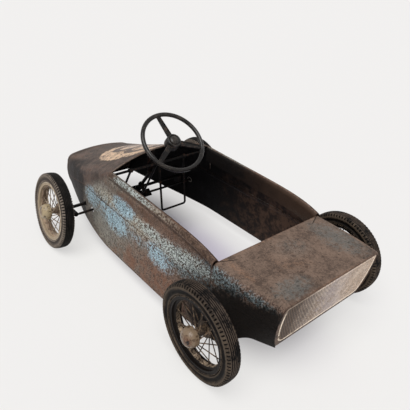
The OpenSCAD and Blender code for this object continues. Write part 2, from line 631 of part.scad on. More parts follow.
// Foot bearing: a bush on the column's end, carried by a clip round the beam
bush_l = 16;
bush_t = 5;
clip_w = 20;
clip_t = 4;
foot_web = 8;
foot_floor = 2;
foot_c = wheel_c - (column_end + foot_floor - bush_l / 2) * axis;
// Corners of a flat bar of a width from one point to another
function bar(a, b, w) = let(n = w / 2 * [a[1] - b[1], b[0] - a[0]] / norm(b - a))
    [a + n, b + n, b - n, a - n];
module column_foot() color(dark_steel) difference() {
    union() {
        on_column(column_end + foot_floor) cylinder(r = column_r + bush_t, h = bush_l);
        car() translate([-clip_w / 2, -wheelbase, beam_z]) across(beam_r + clip_t, clip_w);
        car() translate([-foot_web / 2, 0, 0]) rotate([90, 0, 90]) linear_extrude(foot_web)
            polygon(bar([foot_c[1], foot_c[2]], [-wheelbase, beam_z], beam_r + column_r));
    }
    on_column(column_end + seat_gap) cylinder(r = column_r + run_gap, h = 2 * bush_l);
    car() translate([-clip_w, -wheelbase, beam_z]) across(beam_r, 2 * clip_w);
}

// Upper bearing: a bush on a flat strap that hangs from the bonnet
bracket_t = 195;
strap_w = 28;
strap_t = 3;
bracket_c = wheel_c - bracket_t * axis;
strap_foot = 20;
crown_slope = atan((crown_h(bracket_c[1] + 5) - crown_h(bracket_c[1] - 5)) / 10);
strap_top = crown_h(bracket_c[1] - strap_t / 2) - 1 - sheet_t / cos(crown_slope);
// Side view of the strap: upright, then bent back along the underside of the bonnet
function strap_shape(h) = let(c = cos(crown_slope), s = sin(crown_slope), t = strap_t,
    tip = [strap_foot * c, h + strap_foot * s])
    [[0, 0], [t, 0], [t, h - t * c + t * (1 - s) / c * s], tip + t * [s, -c], tip, [0, h]];
module column_bracket() color(rust_paint) difference() {
    union() {
        on_column(bracket_t + bush_l / 2) cylinder(r = column_r + bush_t, h = bush_l);
        car() translate([-strap_w / 2, bracket_c[1] - strap_t / 2, bracket_c[2]]) rotate([90, 0, 90])
            linear_extrude(strap_w) polygon(strap_shape(strap_top - bracket_c[2]));
    }
    on_column(bracket_t + 40) cylinder(r = column_r + run_gap, h = 80);
}

// Steering wheel
module steering_wheel_rim() color(black_grip) on_column(0) rotate_extrude($fn = 96)
    translate([wheel_ring_r, 0]) circle(r = wheel_grip_r);
wheel_hub_r = 23;
wheel_hub_h = 18;
spoke_t = 5;
wheel_turned = 5;
hub_top = spoke_t / 2 + 1;
spoke_end = wheel_ring_r - wheel_grip_r + 2;
spoke_edge = 2.5;
spoke_recess = 1.5;
spoke_web = [wheel_hub_r + 3, wheel_ring_r - wheel_grip_r - 4];
// Outline of a steering wheel spoke between two radii, drawn in from its edges
function spoke_half(r, inside) = wheel_spoke_w * (1 / 2 - r / spoke_end / 6) - inside;
function spoke_outline(from, to, inside) =
    [for (r = [from, to], s = r == from ? [1, -1] : [-1, 1]) [r, s * spoke_half(r, inside)]];
module steering_wheel_spider() color(dark_steel) on_column(0) difference() {
    union() {
        translate([0, 0, -wheel_hub_h]) cylinder(r = wheel_hub_r, h = wheel_hub_h + hub_top);
        for (a = [0, 120, 240]) rotate(a - 90 + wheel_turned) translate([0, 0, -spoke_t / 2])
            linear_extrude(spoke_t) polygon(spoke_outline(0, spoke_end, 0));
    }
    for (a = [0, 120, 240]) rotate(a - 90 + wheel_turned) translate([0, 0, spoke_t / 2 - spoke_recess])
        linear_extrude(spoke_t) polygon(spoke_outline(spoke_web[0], spoke_web[1], spoke_edge));
    translate([0, 0, -wheel_hub_h - 1]) cylinder(r = column_r, h = wheel_hub_h - 4);
}
// Cap with a raised outer ring, a groove and a domed button
cap_ring_w = 6;
cap_ring_h = 8;
cap_groove = 1.5;
button_r = wheel_hub_r - 1 - cap_ring_w - cap_groove;
button_h = 5;
module steering_wheel_cap() color(black_grip) on_column(0) translate([0, 0, hub_top]) rotate_extrude()
    polygon(concat([[0, 0], [wheel_hub_r - 1, 0]],
        [for (a = steps(0, 180, 10)) [button_r + cap_groove + cap_ring_w / 2 * (1 + cos(a)),
            cap_ring_h - cap_ring_w / 2 * (1 - sin(a))]],
        [[button_r, cap_ring_h - cap_ring_w / 2]],
        [for (a = steps(0, 90, 8)) [button_r * cos(a), cap_ring_h - 1 + button_h * sin(a)]]));

// Pedals: bent rods that hang on a cross shaft under the cowl
// Half width inside the bonnet where its side bends over
function under_bonnet(y, z) = let(r = bend_r(y) - sheet_t, d = max(0, z - side_top(y)))
    lip_x(y) - bend_r(y) + sqrt(r * r - d * d);
shaft_half_l = under_bonnet(-pedal_ahead, pedal_z + pedal_shaft_r) - seat_gap;
pedal_eye_r = pedal_shaft_r + 3.5;
pedal_eye_l = 7;
left_pedal_x = 70;
right_pedal_x = -34;
bend = 8;
collar_l = 3;
module pedal_shaft() color(dark_steel) car() translate([0, -pedal_ahead, pedal_z]) rotate([0, 90, 0]) {
    translate([0, 0, -shaft_half_l]) cylinder(r = pedal_shaft_r, h = 2 * shaft_half_l);
    reach = (pedal_w + pedal_eye_l) / 2 + 0.5;
    translate([0, 0, left_pedal_x + reach]) cylinder(r = pedal_eye_r, h = collar_l);
    translate([0, 0, right_pedal_x - reach - collar_l]) cylinder(r = pedal_eye_r, h = collar_l);
}
module pedal() color(dark_steel) difference() {
    union() {
        for (s = [-1, 1]) {
            translate([s * pedal_w / 2 - pedal_eye_l / 2, 0, 0]) across(pedal_eye_r, pedal_eye_l);
            translate([s * pedal_w / 2, 0, -pedal_len + bend]) cylinder(r = pedal_rod_r, h = pedal_len - bend);
            translate([s * (pedal_w / 2 - bend), 0, -pedal_len + bend])
                rotate([90, 0, 0]) rotate([0, 0, s > 0 ? -90 : 180])
                rotate_extrude(angle = 90) translate([bend, 0]) circle(r = pedal_rod_r);
        }
        translate([-pedal_w / 2 + bend, 0, -pedal_len]) across(pedal_rod_r, pedal_w - 2 * bend);
    }
    translate([-pedal_w, 0, 0]) across(pedal_shaft_r + run_gap, 2 * pedal_w);
}
module hung(x, turned) car() translate([x, -pedal_ahead, pedal_z]) rotate([turned, 0, 0]) children();
module left_pedal() hung(left_pedal_x, -left_pedal_rest) pedal();
module right_pedal() hung(right_pedal_x, right_pedal_rest) pedal();

// Rear axle with two crank throws, one up and one down
throw_in = 42;
throw_out = 112;
axle_end = rear_half_track + stub_end;
module rear_axle() color(dark_steel) car() translate([0, 0, rear_z]) {
    r = rear_axle_r;
    rod([-throw_in, 0, 0], [throw_in, 0, 0], r);
    for (s = [-1, 1]) {
        up = [0, 0, s * crank_throw];
        a = [s * throw_in, 0, 0];
        b = [s * throw_out, 0, 0];
        rod(a, a + up, r);
        rod(a + up, b + up, r);
        rod(b + up, b, r);
        rod(b, [s * axle_end, 0, 0], r);
        for (p = [a, a + up, b + up, b]) translate(p) sphere(r = r);
        rod([s * (rear_half_track - hub_half_w - nut_gap - collar_l), 0, 0],
            [s * (rear_half_track - hub_half_w - nut_gap), 0, 0], r + 3);
    }
}
bearing_w = 54;
bearing_h = 62;
bearing_boss_l = 12;
bearing_x = plate_x(0, rear_z, bearing_w, bearing_h, 0);
module bearing() color(dark_steel) car() translate([bearing_x, 0, rear_z]) difference() {
    union() {
        translate([-saddle_t, -bearing_w / 2, -bearing_h / 2]) cube([saddle_t, bearing_w, bearing_h]);
        translate([-bearing_boss_l, 0, 0]) across(rear_axle_r + bush_t, bearing_boss_l);
    }
    translate([-bearing_boss_l - 1, 0, 0]) across(rear_axle_r + run_gap, bearing_boss_l + 2);
}
module left_axle_bearing() bearing();
module right_axle_bearing() mirror([1, 0, 0]) bearing();

bonnet();
left_upper_side();
right_upper_side();
left_lower_side();
right_lower_side();
rear_deck();
tail_panel();
nose_ring();
nose_grille();
front_axle_beam();
left_axle_saddle();
right_axle_saddle();
column_bracket();
column_foot();
steering_column();
drop_arm();
steering_wheel_rim();
steering_wheel_spider();
steering_wheel_cap();
tie_rod();
left_knuckle();
right_knuckle();
left_kingpin();
right_kingpin();
left_tie_pin();
right_tie_pin();
left_hub_nut();
right_hub_nut();
pedal_shaft();
left_pedal();
right_pedal();
rear_axle();
rear_axle_nuts();
left_axle_bearing();
right_axle_bearing();
front_left_tyre();
front_left_rim();
front_left_spokes();
front_left_hub();
front_left_hub_cap();
front_right_tyre();
front_right_rim();
front_right_spokes();
front_right_hub();
front_right_hub_cap();
rear_left_tyre();
rear_left_rim();
rear_left_spokes();
rear_left_hub();
rear_left_hub_cap();
rear_right_tyre();
rear_right_rim();
rear_right_spokes();
rear_right_hub();
rear_right_hub_cap();
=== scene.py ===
"""Racing pedal car: the sheet metal shells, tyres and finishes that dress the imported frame.

Shapes are worked out in millimetres with y measured back from the rear axle, and put into metres last.
"""

import math

import bpy
import numpy as np
from mathutils import Matrix, Vector
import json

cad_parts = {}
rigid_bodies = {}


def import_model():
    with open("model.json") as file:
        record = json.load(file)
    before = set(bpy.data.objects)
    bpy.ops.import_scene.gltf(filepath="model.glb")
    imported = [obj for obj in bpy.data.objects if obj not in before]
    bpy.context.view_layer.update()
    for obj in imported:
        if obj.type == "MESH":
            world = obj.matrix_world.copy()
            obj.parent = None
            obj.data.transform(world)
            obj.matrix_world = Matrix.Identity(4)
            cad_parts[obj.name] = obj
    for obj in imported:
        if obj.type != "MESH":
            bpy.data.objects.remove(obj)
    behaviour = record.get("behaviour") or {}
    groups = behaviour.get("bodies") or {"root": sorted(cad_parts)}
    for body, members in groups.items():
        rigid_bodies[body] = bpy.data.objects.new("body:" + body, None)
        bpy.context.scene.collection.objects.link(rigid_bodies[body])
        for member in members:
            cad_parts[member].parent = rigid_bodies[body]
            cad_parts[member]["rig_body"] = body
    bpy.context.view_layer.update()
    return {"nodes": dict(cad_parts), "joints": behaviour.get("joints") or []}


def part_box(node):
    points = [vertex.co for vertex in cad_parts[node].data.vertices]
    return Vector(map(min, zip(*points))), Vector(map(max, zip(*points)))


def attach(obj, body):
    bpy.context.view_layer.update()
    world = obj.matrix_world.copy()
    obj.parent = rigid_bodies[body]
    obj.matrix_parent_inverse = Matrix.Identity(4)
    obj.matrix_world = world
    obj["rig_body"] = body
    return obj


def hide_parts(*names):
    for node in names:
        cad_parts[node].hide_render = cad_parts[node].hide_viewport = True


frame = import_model()

MM = 0.001


def middle(node):
    """Middle of a frame part's box, in millimetres."""
    return sum(np.array(corner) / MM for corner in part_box(node)) / 2


def joint_axis(name):
    """Unit axis of a joint."""
    axis = np.array(next(j["axis"] for j in frame["joints"] if j["name"] == name), float)
    return axis / np.linalg.norm(axis)


AXLE_Y = middle("rear_axle")[1]


def from_axle(node):
    """Middle of a frame part's box with y measured from the rear axle, in millimetres."""
    return middle(node) - [0, AXLE_Y, 0]


def in_frame(points):
    """Points with y measured from the rear axle, as lists in the frame's metres."""
    return ((points + [0, AXLE_Y, 0]) * MM).tolist()


def add_object(name, data):
    """A new object in the scene."""
    made = bpy.data.objects.new(name, data)
    bpy.context.scene.collection.objects.link(made)
    return made


# Camera, at the photograph's place

CAMERA_AT = (743.4, 563.4, 865.8)
CAMERA_TURN = math.radians(40.374)
CAMERA_FALL = math.radians(29.054)
CAMERA_ROLL = math.radians(2.508)
CAMERA_LENS = 38.89


def add_camera():
    """A camera that looks back along its own place's direction, rolled about that line."""
    to_eye = np.array([math.sin(CAMERA_TURN) * math.cos(CAMERA_FALL),
                       math.cos(CAMERA_TURN) * math.cos(CAMERA_FALL), math.sin(CAMERA_FALL)])
    right = np.cross(-to_eye, [0, 0, 1])
    right /= np.linalg.norm(right)
    up = np.cross(right, -to_eye)
    rolled_right = right * math.cos(CAMERA_ROLL) + up * math.sin(CAMERA_ROLL)
    rolled_up = up * math.cos(CAMERA_ROLL) - right * math.sin(CAMERA_ROLL)
    camera = add_object("camera", bpy.data.cameras.new("camera"))
    turned = Matrix(np.stack([rolled_right, rolled_up, to_eye], 1).tolist()).to_4x4()
    camera.matrix_world = Matrix.Translation(in_frame(np.array(CAMERA_AT))) @ turned
    camera.data.lens = CAMERA_LENS
    camera.data.sensor_width = 36
    camera.data.clip_end = 200
    bpy.context.scene.camera = camera


add_camera()


# Materials

def tint(red, green, blue):
    """A colour written as 0 to 255 on screen, in linear values."""
    share = [c / 255 for c in (red, green, blue)]
    return (*[c / 12.92 if c <= 0.04045 else ((c + 0.055) / 1.055) ** 2.4 for c in share], 1)


def operator(operation, turned=False):
    """An operator that adds a Math node, with its two values turned round or not."""
    def apply(value, other):
        """The result as a value of the same material."""
        first, second = (other, value) if turned else (value, other)
        return value.finish.maths(operation, first, second)
    return apply


class Value:
    """A value inside a material. Arithmetic on it adds Math nodes, and | is the larger of two values."""

    def __init__(self, finish, socket):
        self.finish = finish
        self.socket = socket

    def __abs__(self):
        return self.finish.maths("ABSOLUTE", self, 0)

    __add__ = __radd__ = operator("ADD")
    __sub__ = operator("SUBTRACT")
    __rsub__ = operator("SUBTRACT", turned=True)
    __mul__ = __rmul__ = operator("MULTIPLY")
    __truediv__ = operator("DIVIDE")
    __pow__ = operator("POWER")
    __or__ = operator("MAXIMUM")


# How far noise, which keeps close to 0.5, is spread out
NOISE_SPREAD = 7


class Finish:
    """The nodes of one material, or of the sky, which read Object coordinates in metres."""

    def __init__(self, name, sky=False):
        self.owner = (bpy.data.worlds if sky else bpy.data.materials).new(name)
        self.end_kind = "ShaderNodeOutputWorld" if sky else "ShaderNodeOutputMaterial"
        self.owner.use_nodes = True
        self.tree = self.owner.node_tree
        self.tree.nodes.clear()
        self.colour = (0, 0, 0)
        self.place = self.node("ShaderNodeTexCoord", {}, {}, "Object")

    def node(self, kind, settings, inputs, output=0):
        """Adds a node, with its settings first and then the values or links of its sockets."""
        made = self.tree.nodes.new(kind)
        for key, setting in settings.items():
            setattr(made, key, setting)
        for key, given in inputs.items():
            if isinstance(given, Value):
                self.tree.links.new(given.socket, made.inputs[key])
            else:
                made.inputs[key].default_value = given
        return Value(self, made.outputs[output])

    def maths(self, operation, first, second):
        """One Math node."""
        return self.node("ShaderNodeMath", {"operation": operation}, {0: first, 1: second})

    def axis(self, name):
        """One Object coordinate, in millimetres."""
        return self.node("ShaderNodeSeparateXYZ", {}, {0: self.place}, name) / MM

    def read(self, name):
        """A piece's own attribute, or 0 on a piece without it."""
        return self.node("ShaderNodeAttribute", {"attribute_name": name}, {}, "Fac")

    def flecks(self, size, detail=4.0, rough=0.65):
        """Noise with features of a size in millimetres, spread about 0 and mostly between -0.6 and 0.6."""
        inputs = {"Vector": self.place, "Scale": 1 / (size * MM), "Detail": detail, "Roughness": rough}
        noise = self.node("ShaderNodeTexNoise", {"noise_dimensions": "3D"}, inputs)
        return (noise - 0.5) * NOISE_SPREAD

    def from_axis(self, centre, axis):
        """Distance in millimetres from a line through a centre."""
        near = self.node("ShaderNodeVectorMath", {"operation": "SUBTRACT"},
                         {0: self.place, 1: tuple(centre * MM)})
        across = self.node("ShaderNodeVectorMath", {"operation": "CROSS_PRODUCT"}, {0: near, 1: tuple(axis)})
        return self.node("ShaderNodeVectorMath", {"operation": "LENGTH"}, {0: across}, "Value") / MM

    def rise(self, value, low, high, start=0.0, end=1.0):
        """Its start below low and its end above high, smooth between."""
        inputs = {"Value": value, "From Min": low, "From Max": high, "To Min": start, "To Max": end}
        return self.node("ShaderNodeMapRange", {"interpolation_type": "SMOOTHSTEP"}, inputs)

    def fall(self, value, low, high):
        """1 below low and 0 above high, smooth between."""
        return self.rise(value, low, high, 1.0, 0.0)

    def mix(self, below, above, mask):
        """One colour laid over another where the mask is 1; each is a value or written as 0 to 255."""
        below, above = (c if isinstance(c, Value) else tint(*c) for c in (below, above))
        return self.node("ShaderNodeMix", {"data_type": "RGBA"}, {0: mask, 6: below, 7: above}, 2)

    def lay(self, above, mask):
        """Lays a colour over the finish's own where the mask is 1."""
        self.colour = self.mix(self.colour, above, mask)

    def bump(self, height, depth):
        """Bump from a height of 0 to 1 that stands for a depth in millimetres."""
        inputs = {"Height": height, "Distance": depth * MM, "Strength": 1.0}
        return self.node("ShaderNodeBump", {}, inputs, "Normal")

    def done(self, normal, rough, shine, metal=0.0):
        """Ends with a principled shader of the finish's colour and returns the material."""
        inputs = {"Base Color": self.colour, "Normal": normal, "Roughness": rough,
                  "Specular IOR Level": shine, "Metallic": metal}
        return self.ended_by(self.node("ShaderNodeBsdfPrincipled", {}, inputs))

    def ended_by(self, shader):
        """Joins a shader to the output and returns the material or sky."""
        out = self.tree.nodes.new(self.end_kind)
        self.tree.links.new(shader.socket, out.inputs["Surface"])
        return self.owner


def blob(finish, along, up, spot):
    """An elliptic spot, given by its two middles, its two half lengths and its strength, that fades to 0."""
    a, u, half_a, half_u, strength = spot
    far = (((along - a) / half_a) ** 2 + ((up - u) / half_u) ** 2) ** 0.5
    return finish.fall(far, 0.1, 1.1) * strength


def spots(finish, along, up, places):
    """The strongest of several elliptic spots."""
    found = blob(finish, along, up, places[0])
    for spot in places[1:]:
        found = found | blob(finish, along, up, spot)
    return found


# Patches of worn paint, and of painted shade, as (y, z, half length, half height, strength) in the frame's
# millimetres
BLUE_PATCHES = [(-90, 175, 280, 84, 0.42), (-226, 172, 84, 52, 0.9), (-140, 182, 100, 26, 0.7),
                (-62, 160, 104, 56, 1.2), (-14, 223, 90, 38, 1.35), (70, 160, 90, 30, 0.4),
                (175, 164, 100, 54, 0.85)]
TEAL_PATCHES = [(290, 198, 170, 64, 0.9), (400, 232, 150, 36, 1.0), (500, 238, 110, 20, 0.8)]
CREAM_PATCHES = [(-100, 214, 150, 40, 0.85), (70, 206, 160, 44, 0.9), (330, 230, 130, 28, 0.6)]
CRACKLE_PATCHES = [(230, 208, 130, 36, 1.1), (315, 222, 110, 28, 0.8), (130, 214, 110, 30, 0.95)]
RUST_PATCHES = [(190, 84, 200, 76, 1.0), (20, 70, 150, 56, 0.8)]
# Dark brown below the lip: brown paint and partly painted shade under the lip
BROWN_AND_SHADE_PATCHES = [(60, 262, 250, 32, 1.1), (300, 262, 150, 32, 0.9), (-150, 260, 100, 36, 0.6)]
GREY_PATCHES = [(-150, 110, 170, 90, 0.85), (-240, 240, 140, 66, 0.7), (-150, 240, 110, 44, 0.6)]
# Near black low on the rear of the sides: painted shade from the rear wheel and the deck's overhang, with
# some dirt
SHADE_AND_GRIME_PATCHES = [(540, 106, 330, 168, 1.6), (400, 124, 150, 94, 1.4), (560, 210, 90, 60, 0.85)]
# Patches on the flat deck as (x, y, half width, half length, strength)
DECK_GREY = [(-135, 480, 70, 130, 0.9), (110, 545, 80, 50, 0.9), (0, 450, 90, 70, 0.5)]
# The warm strip along the front edge, at y 383, is partly wear and partly painted highlight
DECK_WARM = [(160, 430, 18, 110, 0.5), (0, 586, 220, 12, 0.8), (-178, 540, 16, 110, 0.9),
             (30, 470, 100, 80, 0.4), (40, 383, 220, 10, 0.4)]

# Soft edges of the coats, each from where it starts to fade to where it ends, in the frame's millimetres
SIDE_X, SIDE_Z = (118, 150), (262, 276)
BROWNER_Y, SEAM_Y = (-60, 130), (60, 130)
PALE_LIP_START_Y, PALE_LIP_END_Y, TAN_LIP_Y = (-90, -40), (60, 330), (80, 160)
DECK_EDGE_Z, DECK_FRONT_Y, CREASE_END_Y = (250, 256), (372, 380), (394, 404)
BONNET_REAR_Y, BONNET_EDGE_Z = (-112, -98), (268, 300)
# NOSE_BAND_Y and NOSE_BAND_Z edge the painted shade on the sides near the nose
NOSE_BAND_Y, NOSE_BAND_Z = (-315, -270), (200, 240)
# BROWN_FOLD_Y and BROWN_INSIDE_Y are where the painted shade inside the body gives way to brown
BROWN_FOLD_Y, BROWN_INSIDE_Y = (20, 330), (-60, 290)

# The bonnet's coat starts lower towards the nose, by a slope from the cowl's place on
COWL_PLACE_Y, BONNET_SLOPE = -102, 0.55
# The crease at the deck's front corners, shown only as a painted shade line: its place on the edge and its
# slant
CREASE_X, CREASE_Y, CREASE_SLANT = 172, 383, 2.1

# The oval on the bonnet as (x, y, half width, half length)
ROUNDEL = (-6, -252, 140, 152)
# The two rings of the number as (middle behind the oval's, radius), and how much narrower than long they are
RING_PLACES = ((-58, 46), (42, 54))
RING_NARROW = 0.8
RING_STROKE, RING_EDGE = 12, 1.5


def speckled(f, zone, fine, coarse):
    """A zone that is dense where it is strong and breaks into soft flecks where it fades."""
    return f.rise(zone * 1.2 + fine * 0.55 + coarse * 0.35, 0.05, 1.3) * f.rise(zone, 0.0, 0.5)


def body_finish():
    """What the body's coats of paint share: coordinates, flecks of five sizes, mottling and the sides."""
    f = Finish("body_paint")
    f.x, f.y, f.z = f.axis("X"), f.axis("Y"), f.axis("Z")
    f.broad = f.flecks(90)
    f.patchy = f.flecks(30)
    f.flaky = f.flecks(12, 4, 0.7)
    f.fleck = f.flecks(7, 3, 0.7)
    f.grain = f.flecks(3.5, 2, 0.7)
    f.side = f.rise(abs(f.x), *SIDE_X) * f.fall(f.z, *SIDE_Z)
    f.mottle = f.rise(f.patchy * 0.4 + f.flaky * 0.5 + f.fleck * 0.6 + f.grain * 0.9, -0.9, 0.9)
    return f


def on_sides(f, places):
    """Patches on both sides of the body."""
    return spots(f, f.y, f.z, places) * f.side


def brown_coat(f):
    """Grey-brown paint, browner towards the rear, with rust and grey patches on the sides, and dark brown
    ones below the lip that are brown paint and partly painted shade.
    """
    ahead = f.mix((84, 78, 70), (148, 140, 126), f.mottle)
    behind = f.mix((76, 62, 53), (136, 114, 98), f.mottle)
    f.colour = f.mix(ahead, behind, f.rise(f.y + f.broad * 60 + f.patchy * 30, *BROWNER_Y))
    f.lay((126, 86, 62), f.rise(f.broad + f.flaky * 0.7, 0.0, 1.0) * 0.3)
    rust = on_sides(f, RUST_PATCHES) * f.rise(f.flaky + f.patchy, -0.8, 0.9)
    f.lay((120, 80, 58), rust * 0.5)
    # Brown paint below the lip, partly painted shade
    brown = on_sides(f, BROWN_AND_SHADE_PATCHES) * f.rise(f.flaky + f.fleck, -0.9, 0.7)
    f.lay((84, 64, 51), brown * 0.75)
    grey = speckled(f, on_sides(f, GREY_PATCHES), f.fleck, f.flaky)
    f.lay((152, 155, 146), grey * 0.5)


def light_coats(f):
    """Cream, blue, teal and crackled paint on the sides, blue and teal weaker on the right.

    Returns where cream, blue or crackled paint is left.
    """
    more_left = 0.5 + 0.5 * f.rise(f.x, 0, 1)
    dirt = f.rise(f.fleck * 0.8 + f.grain * 0.9 + f.flaky * 0.3, -0.75, 0.45)
    cream = speckled(f, on_sides(f, CREAM_PATCHES), f.fleck, f.flaky)
    f.lay(f.mix((88, 80, 64), (198, 192, 170), dirt), cream * 0.75)
    pale = f.rise(f.fleck * 0.7 + f.grain * 0.8 + f.flaky * 0.3, -0.8, 0.65)
    blue = speckled(f, on_sides(f, BLUE_PATCHES) * more_left, f.flaky, f.fleck)
    f.lay(f.mix((86, 101, 103), (188, 220, 230), pale), blue * 0.9)
    pale = f.rise(f.fleck * 0.8 + f.grain * 0.7, -0.5, 0.8)
    teal = speckled(f, on_sides(f, TEAL_PATCHES) * more_left, f.flaky, f.fleck)
    f.lay(f.mix((34, 42, 42), (132, 152, 154), pale), teal * 0.85)
    pale = f.rise(f.flaky * 0.3 + f.fleck * 0.5 + f.grain * 0.9, -0.5, 0.5)
    crackle = speckled(f, on_sides(f, CRACKLE_PATCHES), f.fleck, f.flaky)
    f.lay(f.mix((54, 56, 50), (204, 214, 206), pale), crackle * 0.9)
    return blue | cream | crackle


def lip_coat(f):
    """The dark seam, the lip's brown paint with pale flecks along its middle that turn tan towards the rear,
    partly as a painted highlight, and painted shade in the groove.
    """
    f.lay((30, 28, 26), f.read("seam") * f.fall(f.y, *SEAM_Y) * 0.85)
    lip = f.read("lip")
    brown = f.mix((58, 46, 38), (98, 80, 66), f.rise(f.patchy * 0.4 + f.fleck * 0.7, -0.6, 0.6))
    f.lay(brown, lip * 0.9)
    pale = f.mix((86, 82, 74), (196, 208, 200), f.rise(f.fleck * 0.6 + f.grain * 0.9, -0.5, 0.5))
    # Tan towards the rear: paint, and partly a painted highlight along the rolled lip
    pale = f.mix(pale, (146, 126, 102), f.rise(f.y, *TAN_LIP_Y) * 0.7)
    left = speckled(f, lip * f.rise(f.y, *PALE_LIP_START_Y) * f.fall(f.y, *PALE_LIP_END_Y), f.fleck, f.flaky)
    f.lay(pale, left * 0.8)
    # Painted shade in the groove below the lip
    f.lay((46, 37, 31), f.read("groove") * 0.8)


def deck_coat(f):
    """Brown paint on the flat deck with grey and warm patches, a painted highlight along its front edge, and
    a dark line painted at each front corner as a crease's shade.
    """
    shade = f.rise(f.patchy * 0.5 + f.broad * 0.3 + f.fleck * 0.35 + f.grain * 0.2, -0.9, 0.9)
    coat = f.mix((82, 69, 59), (128, 109, 93), shade)
    # The warm patches include the painted highlight along the front edge
    for places, worn in ((DECK_GREY, (108, 118, 114)), (DECK_WARM, (158, 121, 92))):
        coat = f.mix(coat, worn, speckled(f, spots(f, f.x, f.y, places), f.fleck, f.flaky) * 0.45)
    # Painted shade of a crease: a dark line at each front corner
    off_crease = abs(abs(f.x) - CREASE_X + (f.y - CREASE_Y) * CREASE_SLANT)
    crease = f.fall(off_crease, 2.5, 4.5) * f.fall(f.y, *CREASE_END_Y)
    coat = f.mix(coat, (24, 18, 15), crease * 0.85)
    f.lay(coat, f.rise(f.z, *DECK_EDGE_Z) * f.rise(f.y, *DECK_FRONT_Y))


def bonnet_coat(f):
    """Plain brown paint on the bonnet, and painted shade on each side up to the nose: near black where the
    side turns away from the light.
    """
    shade = f.rise(f.patchy * 0.5 + f.broad * 0.4 + f.grain * 0.5, -0.8, 0.8)
    coat = f.mix((64, 56, 50), (104, 91, 82), shade)
    coat = f.mix(coat, (112, 84, 68), f.rise(f.flaky + f.broad, 0.2, 1.2) * 0.4)
    above = f.rise(f.z + (COWL_PLACE_Y - f.y) * BONNET_SLOPE, *BONNET_EDGE_Z)
    f.lay(coat, f.fall(f.y, *BONNET_REAR_Y) * above)
    # Painted shade: near black on the sides towards the nose, where they turn away from the light
    band = f.side * f.fall(f.y + f.patchy * 10, *NOSE_BAND_Y) * f.fall(f.z + f.patchy * 10, *NOSE_BAND_Z)
    f.lay(f.mix((10, 8, 8), (38, 33, 30), f.mottle), band * 0.95)


def ring_stroke(f, x, y, radius):
    """The stroke of a ring, from the distances to its middle."""
    far = ((x * RING_NARROW) ** 2 + y ** 2) ** 0.5
    return f.fall(abs(far - radius), RING_STROKE - RING_EDGE, RING_STROKE)


def roundel(f):
    """A worn cream oval with a plain 8 made of two rings; returns where the oval is."""
    x0, y0, half_x, half_y = ROUNDEL
    far = (((f.x - x0) / half_x) ** 2 + ((f.y - y0) / half_y) ** 2) ** 0.5
    disc = f.fall(far + f.flaky * 0.03 + f.patchy * 0.02, 0.94, 1.0) * f.rise(f.z, 215, 230)
    cream = f.mix((222, 192, 156), (140, 122, 108), f.rise(f.patchy * 0.6 + f.flaky * 0.8, -0.4, 0.8))
    cream = f.mix(cream, (186, 176, 166), f.fall(f.x + f.patchy * 30, -40, 50) * 0.6)
    f.lay(cream, disc * f.fall(f.flaky + f.patchy * 0.6, 0.4, 1.0) * 0.95)
    front, rear = (ring_stroke(f, f.x - x0, f.y - y0 - ring_y, ring_r) for ring_y, ring_r in RING_PLACES)
    f.lay((80, 72, 68), (front | rear) * disc * f.fall(f.patchy, 0.5, 0.9) * 0.92)
    return disc


def inside_coat(f):
    """Near black painted shade on the folded flanges and the inner skins inside the body, giving way to
    brown paint towards the rear.
    """
    # Painted shade: the inside is near black, and brown paint shows only towards the rear
    folded = f.mix((8, 7, 7), (64, 49, 38), f.rise(f.y + f.patchy * 30, *BROWN_FOLD_Y))
    f.lay(folded, f.read("fold") * 0.97)
    brown = f.mix((46, 35, 28), (86, 66, 52), f.rise(f.patchy * 0.6 + f.flaky * 0.5, -0.6, 0.6))
    inside = f.mix((5, 4, 4), brown, f.rise(f.y + f.patchy * 40 + f.broad * 30, *BROWN_INSIDE_Y))
    f.lay(inside, f.rise(f.read("inner"), 0.45, 0.6))


def body_paint():
    """Old brown and blue paint over rusted steel, laid on coat by coat, then pits, worn edges, and near
    black painted shade with some dirt low on the rear of the sides.
    """
    f = body_finish()
    brown_coat(f)
    light_left = light_coats(f)
    lip_coat(f)
    deck_coat(f)
    bonnet_coat(f)
    paint_left = light_left | roundel(f)
    pits = f.rise(f.fleck + f.flaky, 0.95, 1.4)
    f.lay((40, 34, 30), pits * 0.6)
    f.lay((92, 70, 56), f.rise(f.read("worn") + f.flaky * 0.25, 0.45, 0.8) * 0.5)
    # Painted shade, with some dirt, low on the rear of the sides behind the rear wheel and under the deck
    shade_and_grime = f.rise(on_sides(f, SHADE_AND_GRIME_PATCHES) + f.flaky * 0.12 + f.patchy * 0.1, 0.1, 0.75)
    f.lay((9, 8, 7), shade_and_grime * 0.97)
    inside_coat(f)
    rough = 0.6 - 0.1 * f.rise(paint_left, 0.3, 0.7) + f.patchy * 0.05 + pits * 0.15
    flecked = f.patchy * 0.05 + f.flaky * 0.07 + f.fleck * 0.07 + f.grain * 0.05
    normal = f.bump(0.5 + flecked - pits * 0.25 + paint_left * 0.08, 0.9)
    return f.done(normal, rough, shine=0.1, metal=pits * 0.15)


# Slope and pitch of the fine lines pressed into the tail, in millimetres
LINE_SLANT, LINE_PITCH = -0.3, 5.6
# Soft edges of the tail's tints, the lilac painted sheen measured from a middle, of the lines and of the
# cream line
LILAC_FROM_X, LILAC_X, WARM_X, BROWN_X = 5, (30, 110), (-120, -30), (30, 140)
FAINT_LINES_X, CREAM_LINE_Z = (-60, 70), (215, 262)
# The tail's raised bead: how far inside the outline it runs, its width, steepness and height
BEAD_AT, BEAD_W, BEAD_STEEP, BEAD_H = 11, 2.4, 1.3, 1.1
# The lines start inside the bead, and bare paint lies outside it, as soft edges
LINES_INSIDE, BARE_OUTSIDE = (14, 16), (7, 9)


